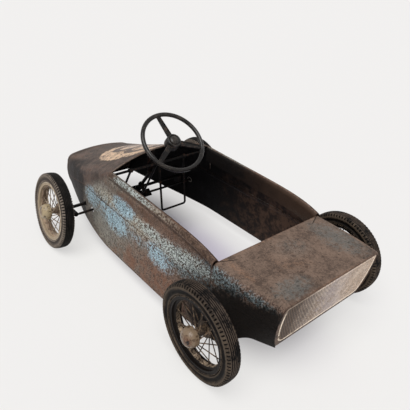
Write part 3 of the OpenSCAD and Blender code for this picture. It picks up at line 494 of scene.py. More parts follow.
def tail_paint():
    """Grey-beige paint on the finely lined tail, with a lilac painted sheen across its middle and a worn
    cream line along its bead.
    """
    f = Finish("tail_paint")
    x, z = f.axis("X"), f.axis("Z")
    broad = f.flecks(80)
    patchy = f.flecks(30)
    flaky = f.flecks(8, 4, 0.7)
    grain = f.flecks(4, 2)
    border = f.read("border")
    inside = f.rise(border, *LINES_INSIDE)
    f.colour = f.mix((172, 150, 128), (246, 228, 206), f.rise(patchy * 0.4 + grain * 0.6, -0.8, 0.6))
    # Painted sheen: a lilac glare across the tail's middle
    lilac = f.fall(abs(x - LILAC_FROM_X), *LILAC_X) * f.rise(flaky + broad, -0.6, 0.6)
    f.lay((190, 180, 182), lilac * 0.5)
    warm = f.fall(x + patchy * 30, *WARM_X) * f.rise(flaky, -0.6, 0.5)
    f.lay((224, 196, 164), warm * 0.6)
    f.lay((84, 63, 44), f.rise(x + patchy * 25, *BROWN_X) * 0.92)
    lines = f.maths("SINE", (x + z * LINE_SLANT) * (2 * math.pi / LINE_PITCH), 0)
    fade = 0.45 + 0.5 * f.rise(x, *FAINT_LINES_X)
    f.lay((30, 22, 17), f.fall(lines, -0.7, 0.5) * inside * fade)
    line = f.fall(abs(border - BEAD_AT), 1.8, 2.6) * f.fall(z, *CREAM_LINE_Z)
    f.lay((255, 240, 214), line * f.fall(flaky + patchy * 0.4, 0.2, 0.7))
    outside = f.fall(border, *BARE_OUTSIDE)
    f.lay(f.mix((62, 50, 43), (108, 90, 76), f.rise(patchy, -0.5, 0.5)), outside)
    # Painted shade: the tail's inner skin, inside the body, near black
    f.lay((18, 15, 13), f.rise(f.read("inner"), 0.45, 0.6))
    normal = f.bump(0.5 + patchy * 0.05 + flaky * 0.08 + grain * 0.05 + lines * inside * 0.25, 0.8)
    return f.done(normal, rough=0.5 + flaky * 0.05, shine=0.12)


def tyre_rubber(name, wall, dust_and_highlight, channel, tread):
    """Old rubber: wall, dust, a painted highlight on the ridges, painted shade in the channel beside the rim
    and the tread each have a colour; the grooves are painted near black as shade.
    """
    f = Finish(name)
    patchy = f.flecks(34)
    flaky = f.flecks(7, 4, 0.7)
    grain = f.flecks(2.5, 2)
    f.colour = f.mix(wall, dust_and_highlight, f.rise(patchy * 0.6 + flaky * 0.5 + grain * 0.4, -0.7, 0.9))
    # Painted highlight on the ridges, over dust
    f.lay(dust_and_highlight, f.read("ridge") * 0.8)
    # Painted shade in the channel beside the rim
    f.lay(channel, f.read("channel") * 0.92)
    worn_tread = f.mix((14, 12, 11), tread, f.rise(patchy + flaky * 0.6, -0.9, 0.5))
    f.lay(worn_tread, f.read("tread"))
    # Painted shade: the ribs' and lugs' grooves near black
    f.lay((3, 3, 3), f.rise(f.read("groove"), 0.1, 0.5) * 0.97)
    normal = f.bump(0.5 + flaky * 0.12 + grain * 0.06, 0.35)
    return f.done(normal, rough=0.6 + flaky * 0.05, shine=0.1)


# Heights about the hub between which the painted light in a rim's well fades, and the radii of its pale
# edge, worn and partly a painted highlight, in millimetres
RIM_LIT_BELOW, RIM_EDGE = (-50, 10), (93.4, 94.6)


def rim_paint(name, centre, axis, shades):
    """Beige paint with rust, painted lighter below the hub as the light that falls into the well; the flange
    has its own colour, and a pale edge that is wear and partly a painted highlight.
    """
    dull, bright, flange, edge, flange_from = shades
    f = Finish(name)
    height = f.axis("Z") - float(centre[2])
    patchy = f.flecks(20)
    flaky = f.flecks(5, 4, 0.7)
    far = f.from_axis(centre, axis)
    f.colour = f.mix(dull, bright, f.rise(patchy + flaky * 0.5, -0.5, 0.7))
    # Painted light: the well below the hub, facing up, paler
    f.lay(bright, f.fall(height + patchy * 10, *RIM_LIT_BELOW) * 0.85)
    f.lay((104, 66, 42), f.rise(patchy + flaky, 0.2, 0.9) * 0.6)
    f.lay((24, 19, 16), f.rise(f.flecks(12) + flaky * 0.5, 0.25, 0.9) * 0.7)
    # On the rear rims the flange colour is near black painted shade
    f.lay(flange, f.rise(far + patchy * 0.8, flange_from, flange_from + 2.5))
    # The pale edge: wear, and partly a painted highlight
    f.lay(edge, f.rise(far, *RIM_EDGE) * f.rise(patchy + flaky, -0.6, 0.3) * 0.85)
    normal = f.bump(0.5 + flaky * 0.12 + patchy * 0.08, 0.35)
    return f.done(normal, rough=0.5 + flaky * 0.08, shine=0.12)


def cap_paint(name, wheel, base, stain, stain_y, bare_y):
    """A painted dome with a rust stain and a dark spot of bare steel, placed behind its middle."""
    f = Finish(name)
    centre = middle(f"{wheel}_hub_cap")
    y, z = f.axis("Y") - float(centre[1]), f.axis("Z") - float(centre[2])
    patchy = f.flecks(20)
    flaky = f.flecks(5, 4, 0.7)
    stained = blob(f, y + patchy * 3, z + patchy * 3, (stain_y, 3, 19, 20, 1.1))
    bare = blob(f, y + patchy * 3 + flaky * 2, z + flaky * 3, (bare_y, 3, 7, 8, 1.0))
    f.colour = f.mix(base, stain, f.rise(stained + flaky * 0.4 + patchy * 0.3, 0.1, 1.1) * 0.85)
    f.lay((50, 38, 30), f.rise(patchy + flaky * 0.6, 0.3, 1.0) * 0.7)
    f.lay((24, 17, 13), f.rise(bare + flaky * 0.2, 0.2, 0.7))
    normal = f.bump(0.5 + flaky * 0.12, 0.25)
    return f.done(normal, rough=0.26 + flaky * 0.08, shine=0.3)


def dark_steel(name, base, wear, rust_share):
    """Dark painted steel with rust."""
    f = Finish(name)
    patchy = f.flecks(18)
    flaky = f.flecks(4, 4, 0.7)
    f.colour = f.mix(base, wear, f.rise(patchy + flaky * 0.4, -0.1, 0.8))
    f.lay((94, 60, 40), f.rise(patchy + flaky, 0.7, 1.2) * rust_share)
    normal = f.bump(0.5 + flaky * 0.12 + patchy * 0.06, 0.3)
    return f.done(normal, rough=0.5 + flaky * 0.08, shine=0.15)


def black_grip():
    """Semi-gloss black moulding, scuffed and dusty."""
    f = Finish("black_grip")
    patchy = f.flecks(30)
    scuffs = f.flecks(3, 3, 0.7)
    f.colour = f.mix((26, 24, 22), (58, 53, 47), f.rise(patchy + scuffs * 0.6, 0.0, 0.9))
    normal = f.bump(0.5 + scuffs * 0.12 + patchy * 0.08, 0.12)
    return f.done(normal, rough=0.18 + scuffs * 0.06, shine=0.3)


BODY_PAINT = body_paint()
TAIL_PAINT = tail_paint()
# Rubber colours: wall, dust and the ridges' painted highlight, the channel's painted shade, and the tread
REAR_RUBBER = tyre_rubber("rear_rubber", (28, 24, 21), (84, 73, 60), (6, 5, 5), (76, 66, 56))
FRONT_RUBBER = tyre_rubber("front_rubber", (88, 80, 72), (134, 123, 109), (60, 53, 47), (36, 32, 29))
BLACK_GRIP = black_grip()
FRAME_STEEL = dark_steel("frame_steel", (7, 6, 6), (20, 18, 16), 0.35)
BROWN_STEEL = dark_steel("brown_steel", (30, 24, 20), (60, 47, 38), 0.6)
REAR_SPOKES = dark_steel("rear_spokes", (64, 54, 44), (132, 114, 92), 0.7)
FRONT_SPOKES = dark_steel("front_spokes", (112, 98, 82), (184, 168, 146), 0.6)
SPIDER_STEEL = dark_steel("spider_steel", (22, 21, 20), (58, 53, 47), 0.3)
REAR_CAP = cap_paint("rear_cap", "rear_left", (128, 110, 88), (92, 56, 33), 9, 13)
FRONT_CAP = cap_paint("front_cap", "front_left", (166, 150, 118), (92, 68, 50), -2, -14)
# A rim's dull and bright colours, the bright one also its painted light below the hub, its flange and worn
# edge colours, then the radius at which its flange starts
# The rear rims' near black flange colour, reaching in to radius 79, is painted shade
REAR_RIM = ((90, 76, 60), (224, 200, 168), (22, 18, 15), (104, 90, 74), 79)
FRONT_RIM = ((112, 96, 78), (176, 156, 132), (166, 150, 124), (236, 224, 198), 84.5)


# Meshes

def add_mesh(name, points, faces, material, attributes=None, sharp=35):
    """A closed piece, smooth but for edges sharper than an angle in degrees.

    Its faces are turned outwards, which the sign of its volume tells.
    """
    points = np.asarray(points, float).reshape(-1, 3)
    a, b, c, d = (points[faces[:, k]] for k in range(4))
    volume = np.einsum("ij,ij->", a, np.cross(b, c)) + np.einsum("ij,ij->", a, np.cross(c, d))
    if volume < 0:
        faces = faces[:, ::-1]
    mesh = bpy.data.meshes.new(name)
    mesh.from_pydata(in_frame(points), [], faces.tolist())
    mesh.polygons.foreach_set("use_smooth", np.ones(len(faces), bool))
    mesh.set_sharp_from_angle(angle=math.radians(sharp))
    for key, values in (attributes or {}).items():
        layer = mesh.attributes.new(key, "FLOAT", "POINT")
        layer.data.foreach_set("value", np.asarray(values, np.float32).ravel())
    mesh.materials.append(material)
    mesh.validate()
    return add_object(name, mesh)


def ring_faces(rows, count, wrap_rows=False):
    """Four-sided faces of a grid of closed rings; the rows can close on themselves too."""
    i, j = np.meshgrid(np.arange(rows if wrap_rows else rows - 1), np.arange(count), indexing="ij")
    below, after = (i + 1) % rows, (j + 1) % count
    faces = [i * count + j, i * count + after, below * count + after, below * count + j]
    return np.stack(faces, -1).reshape(-1, 4)


def end_faces(start, half):
    """Faces that close one end of a shell whose ring goes out along one skin and back along the other."""
    j = np.arange(half - 1)
    return np.stack([start + j, start + 2 * half - 1 - j, start + 2 * half - 2 - j, start + j + 1], -1)


def shell_faces(rows, half):
    """All faces of a shell: its two skins, their two long edges and its two ends."""
    last = (rows - 1) * 2 * half
    return np.concatenate([ring_faces(rows, 2 * half), end_faces(0, half), end_faces(last, half)[:, ::-1]])


def steps(low, high, count):
    """Evenly spaced values as a row; low and high may be columns."""
    return low + (high - low) * np.linspace(0, 1, count)[None, :]


def inward(path, depth):
    """Points moved to the left of a path's direction by a depth."""
    chord = np.concatenate([path[:, 1:2] - path[:, :1], path[:, 2:] - path[:, :-2],
                            path[:, -1:] - path[:, -2:-1]], 1)
    chord /= np.linalg.norm(chord, axis=-1, keepdims=True)
    return path + np.asarray(depth)[..., None] * np.stack([-chord[..., 1], chord[..., 0]], -1)


def ease(t):
    """0 below 0 and 1 above 1, smooth between."""
    c = np.clip(t, 0, 1)
    return c * c * (3 - 2 * c)


# Body form, the same as the frame's sheet metal: W is a half width, Z a height and R a radius

NOSE_LEN, TAIL_LEN, COWL, DECK = 1006, 157, 526, 46
LIP_W, SEAM_W, SKIRT_W, NOSE_W, TAIL_W = 198, 204, 216, 131, 176
SKIRT_Z, SEAM_Z, DECK_Z, COWL_Z, LIP_Z, NOSE_Z = 42, 190, 257, 345, 301, 187
NOSE_SKIRT_W, TAIL_SKIRT_W = NOSE_W * 0.92, TAIL_W - 21
NOSE_SKIRT_Z, TAIL_SKIRT_Z = SKIRT_Z + 28, SKIRT_Z + 74
SKIRT_LIFT_FROM, SKIRT_LIFT_RUN = -30, 135
SEAM_DROP, SEAM_LEVEL_TO = 95, 680
SHOULDER_R, NOSE_SHOULDER_R, DECK_BEND_R, LIP_R = 12, 31, 20, 11
COWL_RISE, NOSE_RISE, CROWN_BOW = 48, 8, 0.1
LIP_FALL, LIP_OVER_DECK, FLANGE_H = 18, 5, 38
TAIL_LEAN, LEAN_FROM = 25, -10
SHEET, GAP, LAP = 1.5, 0.3, 10
RING_LEN = 30
BONNET_END = NOSE_LEN - RING_LEN

# Rows along the car and points across a section, for each sheet
BONNET_ROWS, UPPER_ROWS, LOWER_ROWS, DECK_ROWS, HEM_ROWS = 64, 72, 180, 60, 6
BONNET_SIDE, BONNET_BEND, BONNET_CROWN = 12, 9, 20
UPPER_SIDE, UPPER_LIP, UPPER_FLANGE = 26, 19, 10
LOWER_SIDE, DECK_SIDE, DECK_BEND, DECK_FLAT = 30, 8, 13, 30


def fore(y):
    """Share of the way from the cowl to the nose."""
    return np.maximum(0, (-y - COWL) / (NOSE_LEN - COWL))


def aft(y):
    """Share of the way from the cowl to the tail."""
    return np.maximum(0, (y + COWL) / (COWL + TAIL_LEN))


def plan(y, mid, nose, tail, nose_power, tail_power):
    """Half width: the middle's, drawn to the nose's and the tail's by a power of the share of the way."""
    return mid + (nose - mid) * fore(y) ** nose_power + (tail - mid) * aft(y) ** tail_power


def skirt_x(y):
    """Half width at the skirt."""
    return plan(y, SKIRT_W, NOSE_SKIRT_W, TAIL_SKIRT_W, 1.5, 5)


def seam_x(y):
    """Half width at the seam."""
    return plan(y, SEAM_W, NOSE_W, TAIL_W + 1, 2.1, 5)


def lip_x(y):
    """Half width at the top of the side."""
    return plan(y, LIP_W, NOSE_W - 3, TAIL_W, 2, 7)


def skirt_h(y):
    """Height of the skirt, which rises towards the nose and behind the rear axle."""
    return (SKIRT_Z + (NOSE_SKIRT_Z - SKIRT_Z) * fore(y) ** 3
            + (TAIL_SKIRT_Z - SKIRT_Z) * ease((y - SKIRT_LIFT_FROM) / SKIRT_LIFT_RUN))


def seam_h(y):
    """Height of the seam, level from the tail and dropping towards the nose."""
    return SEAM_Z - SEAM_DROP * np.maximum(0, (-y - SEAM_LEVEL_TO) / (NOSE_LEN - SEAM_LEVEL_TO)) ** 1.25


def bend_r(y):
    """Radius of the bend from the side into the bonnet."""
    return SHOULDER_R + (NOSE_SHOULDER_R - SHOULDER_R) * fore(y)


def crown_h(y):
    """Height of the bonnet's middle, a slightly bowed fall from the cowl to the nose."""
    return COWL_Z - (COWL_Z - NOSE_Z) * ((1 + CROWN_BOW) * fore(y) - CROWN_BOW * fore(y) ** 3)


def side_top(y):
    """Height at which the side ends and the bend into the bonnet, the lip or the deck begins."""
    share = (y + COWL) / (COWL - DECK)
    last_drop = LIP_Z - LIP_FALL - DECK_Z - LIP_OVER_DECK
    lip_h = LIP_Z - LIP_FALL * share - last_drop * np.clip(share, 0, 1) ** 8
    rise = COWL_RISE + (NOSE_RISE - COWL_RISE) * fore(y)
    beside_cockpit = np.where(y < -DECK, lip_h - LIP_R, DECK_Z - DECK_BEND_R)
    return np.where(y < -COWL, crown_h(y) - rise - bend_r(y), beside_cockpit)


def side_x(y, z):
    """Half width at a height: the parabola through the skirt, seam and lip widths."""
    a, b, c = skirt_h(y), seam_h(y), side_top(y)
    return (skirt_x(y) * (z - b) * (z - c) / ((a - b) * (a - c))
            + seam_x(y) * (z - a) * (z - c) / ((b - a) * (b - c))
            + lip_x(y) * (z - a) * (z - b) / ((c - a) * (c - b)))


# Dents as (x, y, z, radius, depth) in the frame's millimetres
DENTS = [(205, -140, 130, 60, 1.6), (205, 90, 140, 45, 1.4), (190, 330, 215, 40, 1.2),
         (120, -330, 270, 70, 1.8), (-60, -240, 290, 60, 1.5), (60, 470, 257, 70, 1.6),
         (-110, 500, 257, 60, 1.4), (-205, -60, 150, 60, 1.6), (-190, 250, 170, 50, 1.5),
         (160, -380, 150, 50, 1.5), (-150, -420, 170, 60, 1.6), (201, 10, 225, 40, 1.1)]
# The slow waves' depth, and the lengths that spread them: along, across and up, and a longer one along
WAVE_DEPTH = 0.22
WAVE_ALONG, WAVE_ACROSS, WAVE_UP, WAVE_LONG = 61, 83, 47, 139


def battering(x, y, z):
    """Inward depth at a place: bell-shaped dents over slow waves."""
    wave = np.sin(y / WAVE_ALONG + x / WAVE_ACROSS) * np.cos(z / WAVE_UP + y / WAVE_LONG)
    deep = WAVE_DEPTH * (1 + wave)
    for dx, dy, dz, radius, depth in DENTS:
        far = (x - dx) ** 2 + (y + AXLE_Y - dy) ** 2 + (z - dz) ** 2
        deep = deep + depth * np.exp(-far / (0.5 * radius) ** 2)
    return deep


def lean_at(y):
    """Forward lean per millimetre below the deck, from none ahead of the rear axle to the tail's."""
    return TAIL_LEAN / (DECK_Z - TAIL_SKIRT_Z) * ease((y - LEAN_FROM) / (TAIL_LEN - LEAN_FROM))


# How far a seam's line and the wear along an edge reach
SEAM_LINE, WEAR = 2, 4


def shell(name, y, path, lean=0.0, marks=None, mirrored=False):
    """A sheet whose outer skin follows a path (x, z) at each y, dented, with an inner skin one sheet deeper.

    The marks are attributes along the path. Added to them are inner, which tells the skins apart, worn,
    which grows towards the free edges, and seam, which is 1 along the path's two ends.
    """
    y = np.broadcast_to(y[:, None], path.shape[:2])
    deep = battering(path[..., 0], y, path[..., 1])
    outer, under = inward(path, deep), inward(path, deep + SHEET)
    rows, half = path.shape[:2]
    ring = np.concatenate([outer, under[:, ::-1]], 1)
    ring_y = np.concatenate([y, y[:, ::-1]], 1)
    lean = np.broadcast_to(np.asarray(lean, float).reshape(-1, 1), ring_y.shape)
    points = np.stack([ring[..., 0], ring_y - lean * (DECK_Z - ring[..., 1]), ring[..., 1]], -1)
    run = np.linalg.norm(np.diff(path, axis=1), axis=-1)
    far = np.concatenate([np.zeros((rows, 1)), np.cumsum(run, 1)], 1)
    edge = np.minimum(far, far[:, -1:] - far)
    seam = np.exp(-(edge / SEAM_LINE) ** 2)
    edge = np.minimum(edge, np.minimum(abs(y - y[:1]), abs(y - y[-1:])))
    values = {"worn": np.exp(-edge / WEAR), "seam": seam, **(marks or {})}
    values = {key: np.concatenate([v, v[:, ::-1]], 1) for key, v in values.items()}
    values["inner"] = np.concatenate([np.zeros((rows, half)), np.ones((rows, half))], 1)
    if mirrored:
        points = points * [-1, 1, 1]
    return add_mesh(name, points, shell_faces(rows, half), BODY_PAINT, values)


def dress(piece, node):
    """The piece stands for a frame part and moves with its body."""
    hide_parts(node)
    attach(piece, frame["nodes"][node]["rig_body"])


def both_halves(half):
    """A path with its mirror image, sharing the middle point."""
    return np.concatenate([half, half[:, -2::-1] * [-1, 1]], 1)


def side_points(y, low, count):
    """The side's section from a height up to its top."""
    z = steps(low, side_top(y), count)
    return np.stack([side_x(y, z), z], -1)


def bonnet_half(y):
    """Side, bend and crown: a circle of the bend's radius, then one that is level at the middle."""
    r, z0 = bend_r(y), side_top(y)
    x0 = lip_x(y) - r
    a0 = 2 * np.arctan((crown_h(y) - z0 - r) / x0)
    xe, ze = x0 + r * np.sin(a0), z0 + r * np.cos(a0)
    h = crown_h(y) - ze
    big = (xe ** 2 + h ** 2) / (2 * h)
    a = steps(0 * a0, math.pi / 2 - a0, BONNET_BEND)[:, 1:]
    bend = np.stack([x0 + r * np.cos(a), z0 + r * np.sin(a)], -1)
    s = steps(1, 0, BONNET_CROWN)[:, 1:]
    crown = np.stack([xe * s, crown_h(y) - big + np.sqrt(big ** 2 - (xe * s) ** 2)], -1)
    return np.concatenate([side_points(y, seam_h(y), BONNET_SIDE), bend, crown], 1)


# Radius of a hem, and the height above the seam's flat strip over which it grows
HEM, HEM_RUN, STRIP = 3, 20, LAP + 3
HEM_TURN = np.linspace(0, math.pi / 2, HEM_ROWS + 1)[1:]
# The deck's hem ends this share of its radius behind the sheet, just short of the solid tail
DECK_HEM_REACH = 0.98


def hemmed_sheet(name, half_path, start, end, row_count, reach=1.0):
    """A sheet over the whole width whose last sections roll inwards as a hem, less towards the seam.

    The reach is the share of the hem's radius by which it ends behind the sheet.
    """
    y = np.linspace(start, end - HEM, row_count)
    last = both_halves(half_path(np.full((HEM_ROWS, 1), float(end))))
    share = ease((last[..., 1] - seam_h(float(end)) - STRIP) / HEM_RUN)
    rolled = inward(last, HEM * (1 - np.cos(HEM_TURN))[:, None] * share)
    rows = np.concatenate([y, end - HEM + HEM * reach * np.sin(HEM_TURN)])
    lean = np.concatenate([lean_at(y), np.full(HEM_ROWS, lean_at(end))])
    return shell(name, rows, np.concatenate([both_halves(half_path(y[:, None])), rolled]), lean)


def bonnet():
    """The bonnet, from the nose ring to the cowl."""
    piece = hemmed_sheet("bonnet_sheet", bonnet_half, -BONNET_END, -COWL, BONNET_ROWS)
    dress(piece, "bonnet")


# Depth of the groove below the lip, and its place and width as shares of the lip's radius
LIP_GROOVE, GROOVE_AT, GROOVE_W = 1.1, 0.5, 0.34


def upper_side(side, mirrored):
    """Side up to the lip with a shallow groove below it, the lip as a half circle, then its inner flange."""
    y = np.linspace(-COWL, -DECK - 1, UPPER_ROWS)[:, None]
    side_part = side_points(y, seam_h(y), UPPER_SIDE)
    z0 = side_top(y)
    below = (z0 - side_part[..., 1]) / LIP_R
    groove = np.exp(-((below - GROOVE_AT) / GROOVE_W) ** 2)
    side_part[..., 0] -= LIP_GROOVE * groove
    a = steps(0 * y, math.pi, UPPER_LIP)[:, 1:]
    x0 = lip_x(y) - LIP_R
    lip = np.stack([x0 + LIP_R * np.cos(a), z0 + LIP_R * np.sin(a)], -1)
    flange_z = steps(z0, z0 - FLANGE_H, UPPER_FLANGE)[:, 1:]
    flange = np.stack([np.broadcast_to(x0 - LIP_R, flange_z.shape), flange_z], -1)
    path = np.concatenate([side_part, lip, flange], 1)
    blank = np.zeros(flange_z.shape)
    # fold marks the inner half of the lip and the flange for the inside's near black painted shade
    marks = {"lip": np.concatenate([np.zeros(groove.shape), ease((1.7 - a) / 0.4), blank], 1),
             "fold": np.concatenate([np.zeros(groove.shape), ease((a - 1.6) / 0.6), blank + 1], 1),
             "groove": np.concatenate([groove, np.zeros(a.shape), blank], 1)}
    piece = shell(f"{side}_upper_sheet", y[:, 0], path, marks=marks, mirrored=mirrored)
    dress(piece, f"{side}_upper_side")


# The lower side is set in over this height below the seam
JOG = 2


def lower_side(side, mirrored):
    """Side from the skirt to the seam, then a lap set in by a sheet's thickness under the upper sheet."""
    y = np.linspace(-BONNET_END, TAIL_LEN, LOWER_ROWS)[:, None]
    b = seam_h(y)
    z = np.concatenate([steps(skirt_h(y), b - JOG, LOWER_SIDE), b + [[-JOG / 2, 0, LAP / 2, LAP]]], 1)
    x = side_x(y, z) - (SHEET + GAP) * np.clip((z - b + JOG) / JOG, 0, 1)
    path = np.stack([x, z], -1)
    piece = shell(f"{side}_lower_sheet", y[:, 0], path, lean=lean_at(y[:, 0]), mirrored=mirrored)
    drill(piece, -1 if mirrored else 1)
    dress(piece, f"{side}_lower_side")


# Radii of the holes in the lower sides, and half the tie rod's travel, which makes its hole a slot
REAR_HOLE_R, FRONT_HOLE_R, ROD_SLOT_R, ROD_TRAVEL = 12, 9.5, 8, 3.5
# The tie rod's slot is this far above the front axle and ahead of the rod's middle
ROD_SLOT_UP, ROD_SLOT_AHEAD = 7, 1.5
CUTTER_SIDES, CUTTER_X = 40, (150, 260)


def add_cutter(hand, height, along, radius, slot):
    """A bar across one side of the body, drawn out along the car by a slot's half length."""
    turn = np.linspace(0, 2 * math.pi, CUTTER_SIDES, endpoint=False)
    stretch = radius * np.cos(turn) + slot * np.sign(np.cos(turn))
    ring = np.stack([0 * turn, along + stretch, height + radius * np.sin(turn)], -1)
    points = np.concatenate([ring + [hand * x, 0, 0] for x in CUTTER_X])
    caps = [list(range(CUTTER_SIDES - 1, -1, -1)), list(range(CUTTER_SIDES, 2 * CUTTER_SIDES))]
    faces = ring_faces(2, CUTTER_SIDES).tolist() + caps
    mesh = bpy.data.meshes.new("hole")
    mesh.from_pydata(in_frame(points), [], faces)
    return add_object("hole", mesh)


def drill(piece, hand):
    """Cuts the rear axle's and the front axle's holes and the tie rod's slot into a side sheet."""
    front, rod = from_axle("front_axle_beam"), from_axle("tie_rod")
    cutters = [add_cutter(hand, middle("rear_axle")[2], 0, REAR_HOLE_R, 0),
               add_cutter(hand, front[2], front[1], FRONT_HOLE_R, 0),
               add_cutter(hand, front[2] + ROD_SLOT_UP, rod[1] - ROD_SLOT_AHEAD, ROD_SLOT_R, ROD_TRAVEL)]
    for cutter in cutters:
        cut = piece.modifiers.new("hole", "BOOLEAN")
        cut.object = cutter
        cut.solver = "EXACT"
    bpy.context.view_layer.update()
    drilled = bpy.data.meshes.new_from_object(piece.evaluated_get(bpy.context.evaluated_depsgraph_get()))
    piece.modifiers.clear()
    piece.data = drilled
    for cutter in cutters:
        bpy.data.objects.remove(cutter)


def deck_half(y):
    """Side, bend and flat half of the deck."""
    r = DECK_BEND_R
    x0 = lip_x(y) - r
    a = steps(0 * y, math.pi / 2, DECK_BEND)[:, 1:]
    bend = np.stack([x0 + r * np.cos(a), DECK_Z - r + r * np.sin(a)], -1)
    flat_x = steps(x0, 0, DECK_FLAT)[:, 1:]
    flat = np.stack([flat_x, np.full(flat_x.shape, float(DECK_Z))], -1)
    return np.concatenate([side_points(y, seam_h(y), DECK_SIDE), bend, flat], 1)


def rear_deck():
    """The deck, from its front edge to the tail."""
    piece = hemmed_sheet("deck_sheet", deck_half, -DECK, TAIL_LEN, DECK_ROWS, DECK_HEM_REACH)
    dress(piece, "rear_deck")


# The deck's flange clears the upper sides' flanges, and its top edge lies inside the deck's sheet
FLANGE_CLEAR, FLANGE_SINK = 8, 0.8 * SHEET
DECK_FLANGE_W, DECK_FLANGE_H, DECK_FLANGE_POINTS = LIP_W - 2 * LIP_R - FLANGE_CLEAR, 18, 60


def deck_flange():
    """The flange bent down at the deck's front edge, as a closed bar from side to side."""
    count = DECK_FLANGE_POINTS
    x = np.linspace(-DECK_FLANGE_W, DECK_FLANGE_W, count)[:, None, None]
    low, high = DECK_Z - DECK_FLANGE_H, DECK_Z - FLANGE_SINK
    section = np.array([[-DECK, low], [-DECK + SHEET, low], [-DECK + SHEET, high], [-DECK, high]], float)
    points = np.concatenate([np.broadcast_to(x, (count, 4, 1)), np.broadcast_to(section, (count, 4, 2))], -1)
    ends = np.array([[3, 2, 1, 0], [0, 1, 2, 3]]) + [[0], [4 * (count - 1)]]
    faces = np.concatenate([ring_faces(count, 4), ends])
    # The flange's fold mark lays near black painted shade on it
    piece = add_mesh("deck_flange", points, faces, BODY_PAINT, {"fold": np.full((count, 4), 0.8)})
    dress(piece, "rear_deck")


# One side of a tyre's section as (radius, half width), from the rim's seat to the middle of the tread
TYRE_SIDE = [(88, 13.1), (95, 13.1), (97.5, 16.6), (99.5, 18.2), (101.5, 17.4), (104, 15.8), (108, 15.9),
             (111.5, 18.4), (114, 19), (117, 18.6), (120, 17.2), (122.4, 15.6), (123.5, 13.8), (124.2, 10),
             (124.7, 5), (124.85, 0)]
# Half widths of the tread and of its finely pointed middle, that middle's points, and the gap before it
TREAD_W, FINE_W, FINE_POINTS, FINE_GAP = 13, 10, 28, 0.2
RIB_PITCH, RIB_DEPTH, RIB_ZIGZAG = 4.8, 1.6, 0.35
LUGS, LUG_DEPTH, POINTS_PER_LUG = 84, 2.4, 8
# Radii from which the lugs run outwards, and how far each side's lugs are turned, in radians of their cosine
REAR_LUG_LOW, FRONT_LUG_LOW = 116, 109
LUG_TURN = 0.6
# Radius and width of the channel, painted dark as shade, and of the two ridges, painted light as dust and
# highlight, and the half width where the wall begins
CHANNEL, OUTER_RIDGE, INNER_RIDGE = (105, 5.0), (115.5, 2.6), (99.2, 1.2)
WALL_W = 14


def smooth_through(points, per_span):
    """A smooth curve through points, a cubic from each one to the next."""
    p = np.asarray(points, float)
    p = np.concatenate([[2 * p[0] - p[1]], p, [2 * p[-1] - p[-2]]])
    t = np.linspace(0, 1, per_span, endpoint=False)[None, :, None]
    a, b, c, d = p[:-3, None], p[1:-2, None], p[2:-1, None], p[3:, None]
    square, cube = 2 * a - 5 * b + 4 * c - d, 3 * b - a - 3 * c + d
    curve = 0.5 * (2 * b + (c - a) * t + square * t ** 2 + cube * t ** 3)
    return np.concatenate([curve.reshape(-1, 2), p[-2:-1]])


def tyre_section():
    """Radius and place across the whole section, with the points' outward directions."""
    half = smooth_through(TYRE_SIDE, 4)
    across = np.linspace(FINE_W, 0, FINE_POINTS)
    tread = np.stack([np.interp(across, half[::-1, 1], half[::-1, 0]), across], -1)
    half = np.concatenate([half[half[:, 1] > FINE_W + FINE_GAP], tread])
    path = np.concatenate([half, half[-2::-1] * [1, -1]])
    chord = np.gradient(path, axis=0)
    chord /= np.linalg.norm(chord, axis=1, keepdims=True)
    normal = np.stack([-chord[:, 1], chord[:, 0]], -1)
    return path, normal * np.sign(normal[len(path) // 2, 0])


def bell(value, middle_at, width, power=2):
    """1 at a middle, falling to 0 on both sides."""
    return np.exp(-((value - middle_at) / width) ** power)


def tyre(wheel, axis):
    """A smooth ring; a cosine across the tread cuts its ribs and a cosine round it cuts its lugs."""
    centre = from_axle(f"{wheel}_rim")
    path, outward = tyre_section()
    turn = np.linspace(0, 2 * math.pi, LUGS * POINTS_PER_LUG, endpoint=False)[:, None]
    r, w = path[:, 0][None], path[:, 1][None]
    zigzag = RIB_ZIGZAG * np.arcsin(np.sin(turn * LUGS)) / (math.pi / 2)
    rib_wave = np.cos(2 * math.pi * (w + zigzag) / RIB_PITCH)
    ribs = ease((rib_wave + 0.2) / 0.7) * ease((TREAD_W - abs(w)) / 1.5)
    low = FRONT_LUG_LOW if wheel.startswith("front") else REAR_LUG_LOW
    shoulder = ease((r - low) / 2) * ease((abs(w) - TREAD_W) / 1.2)
    lugs = ease((np.cos(turn * LUGS + LUG_TURN * np.sign(w)) - 0.25) / 0.5) * shoulder
    cut = RIB_DEPTH * ribs + LUG_DEPTH * lugs
    ring = path[None] - cut[..., None] * outward[None]
    out = np.cross(axis, [0, 1, 0])
    out /= np.linalg.norm(out)
    other = np.cross(axis, out)
    spread = np.cos(turn)[..., None] * out + np.sin(turn)[..., None] * other
    points = centre + ring[..., :1] * spread + ring[..., 1:] * axis
    channel = bell(r, *CHANNEL, power=4) * ease(abs(w) - WALL_W)
    ridge = np.maximum(bell(r, *OUTER_RIDGE), bell(r, *INNER_RIDGE)) * ease(abs(w) - WALL_W - 1)
    tread = ease((TREAD_W + 1.5 - abs(w)) / 1.5) * ease((r - REAR_LUG_LOW) / 2)
    marks = {"groove": np.maximum(ribs, lugs)}
    for key, mark in (("channel", channel), ("ridge", ridge), ("tread", tread)):
        marks[key] = np.broadcast_to(mark, cut.shape)
    rubber = FRONT_RUBBER if wheel.startswith("front") else REAR_RUBBER
    piece = add_mesh(f"{wheel}_tread", points, ring_faces(len(turn), len(path), True), rubber, marks, 60)
    dress(piece, f"{wheel}_tyre")


TAIL_INSET = 2 * (SHEET + GAP)
TAIL_SINK = SHEET
TAIL_CORNER, TAIL_ROWS, TAIL_COLUMNS = 26, 100, 200
# The outline's sides lean, so a distance to them is this share of the distance across, and its top margin
SIDE_SLANT, TOP_MARGIN = 0.98, 4


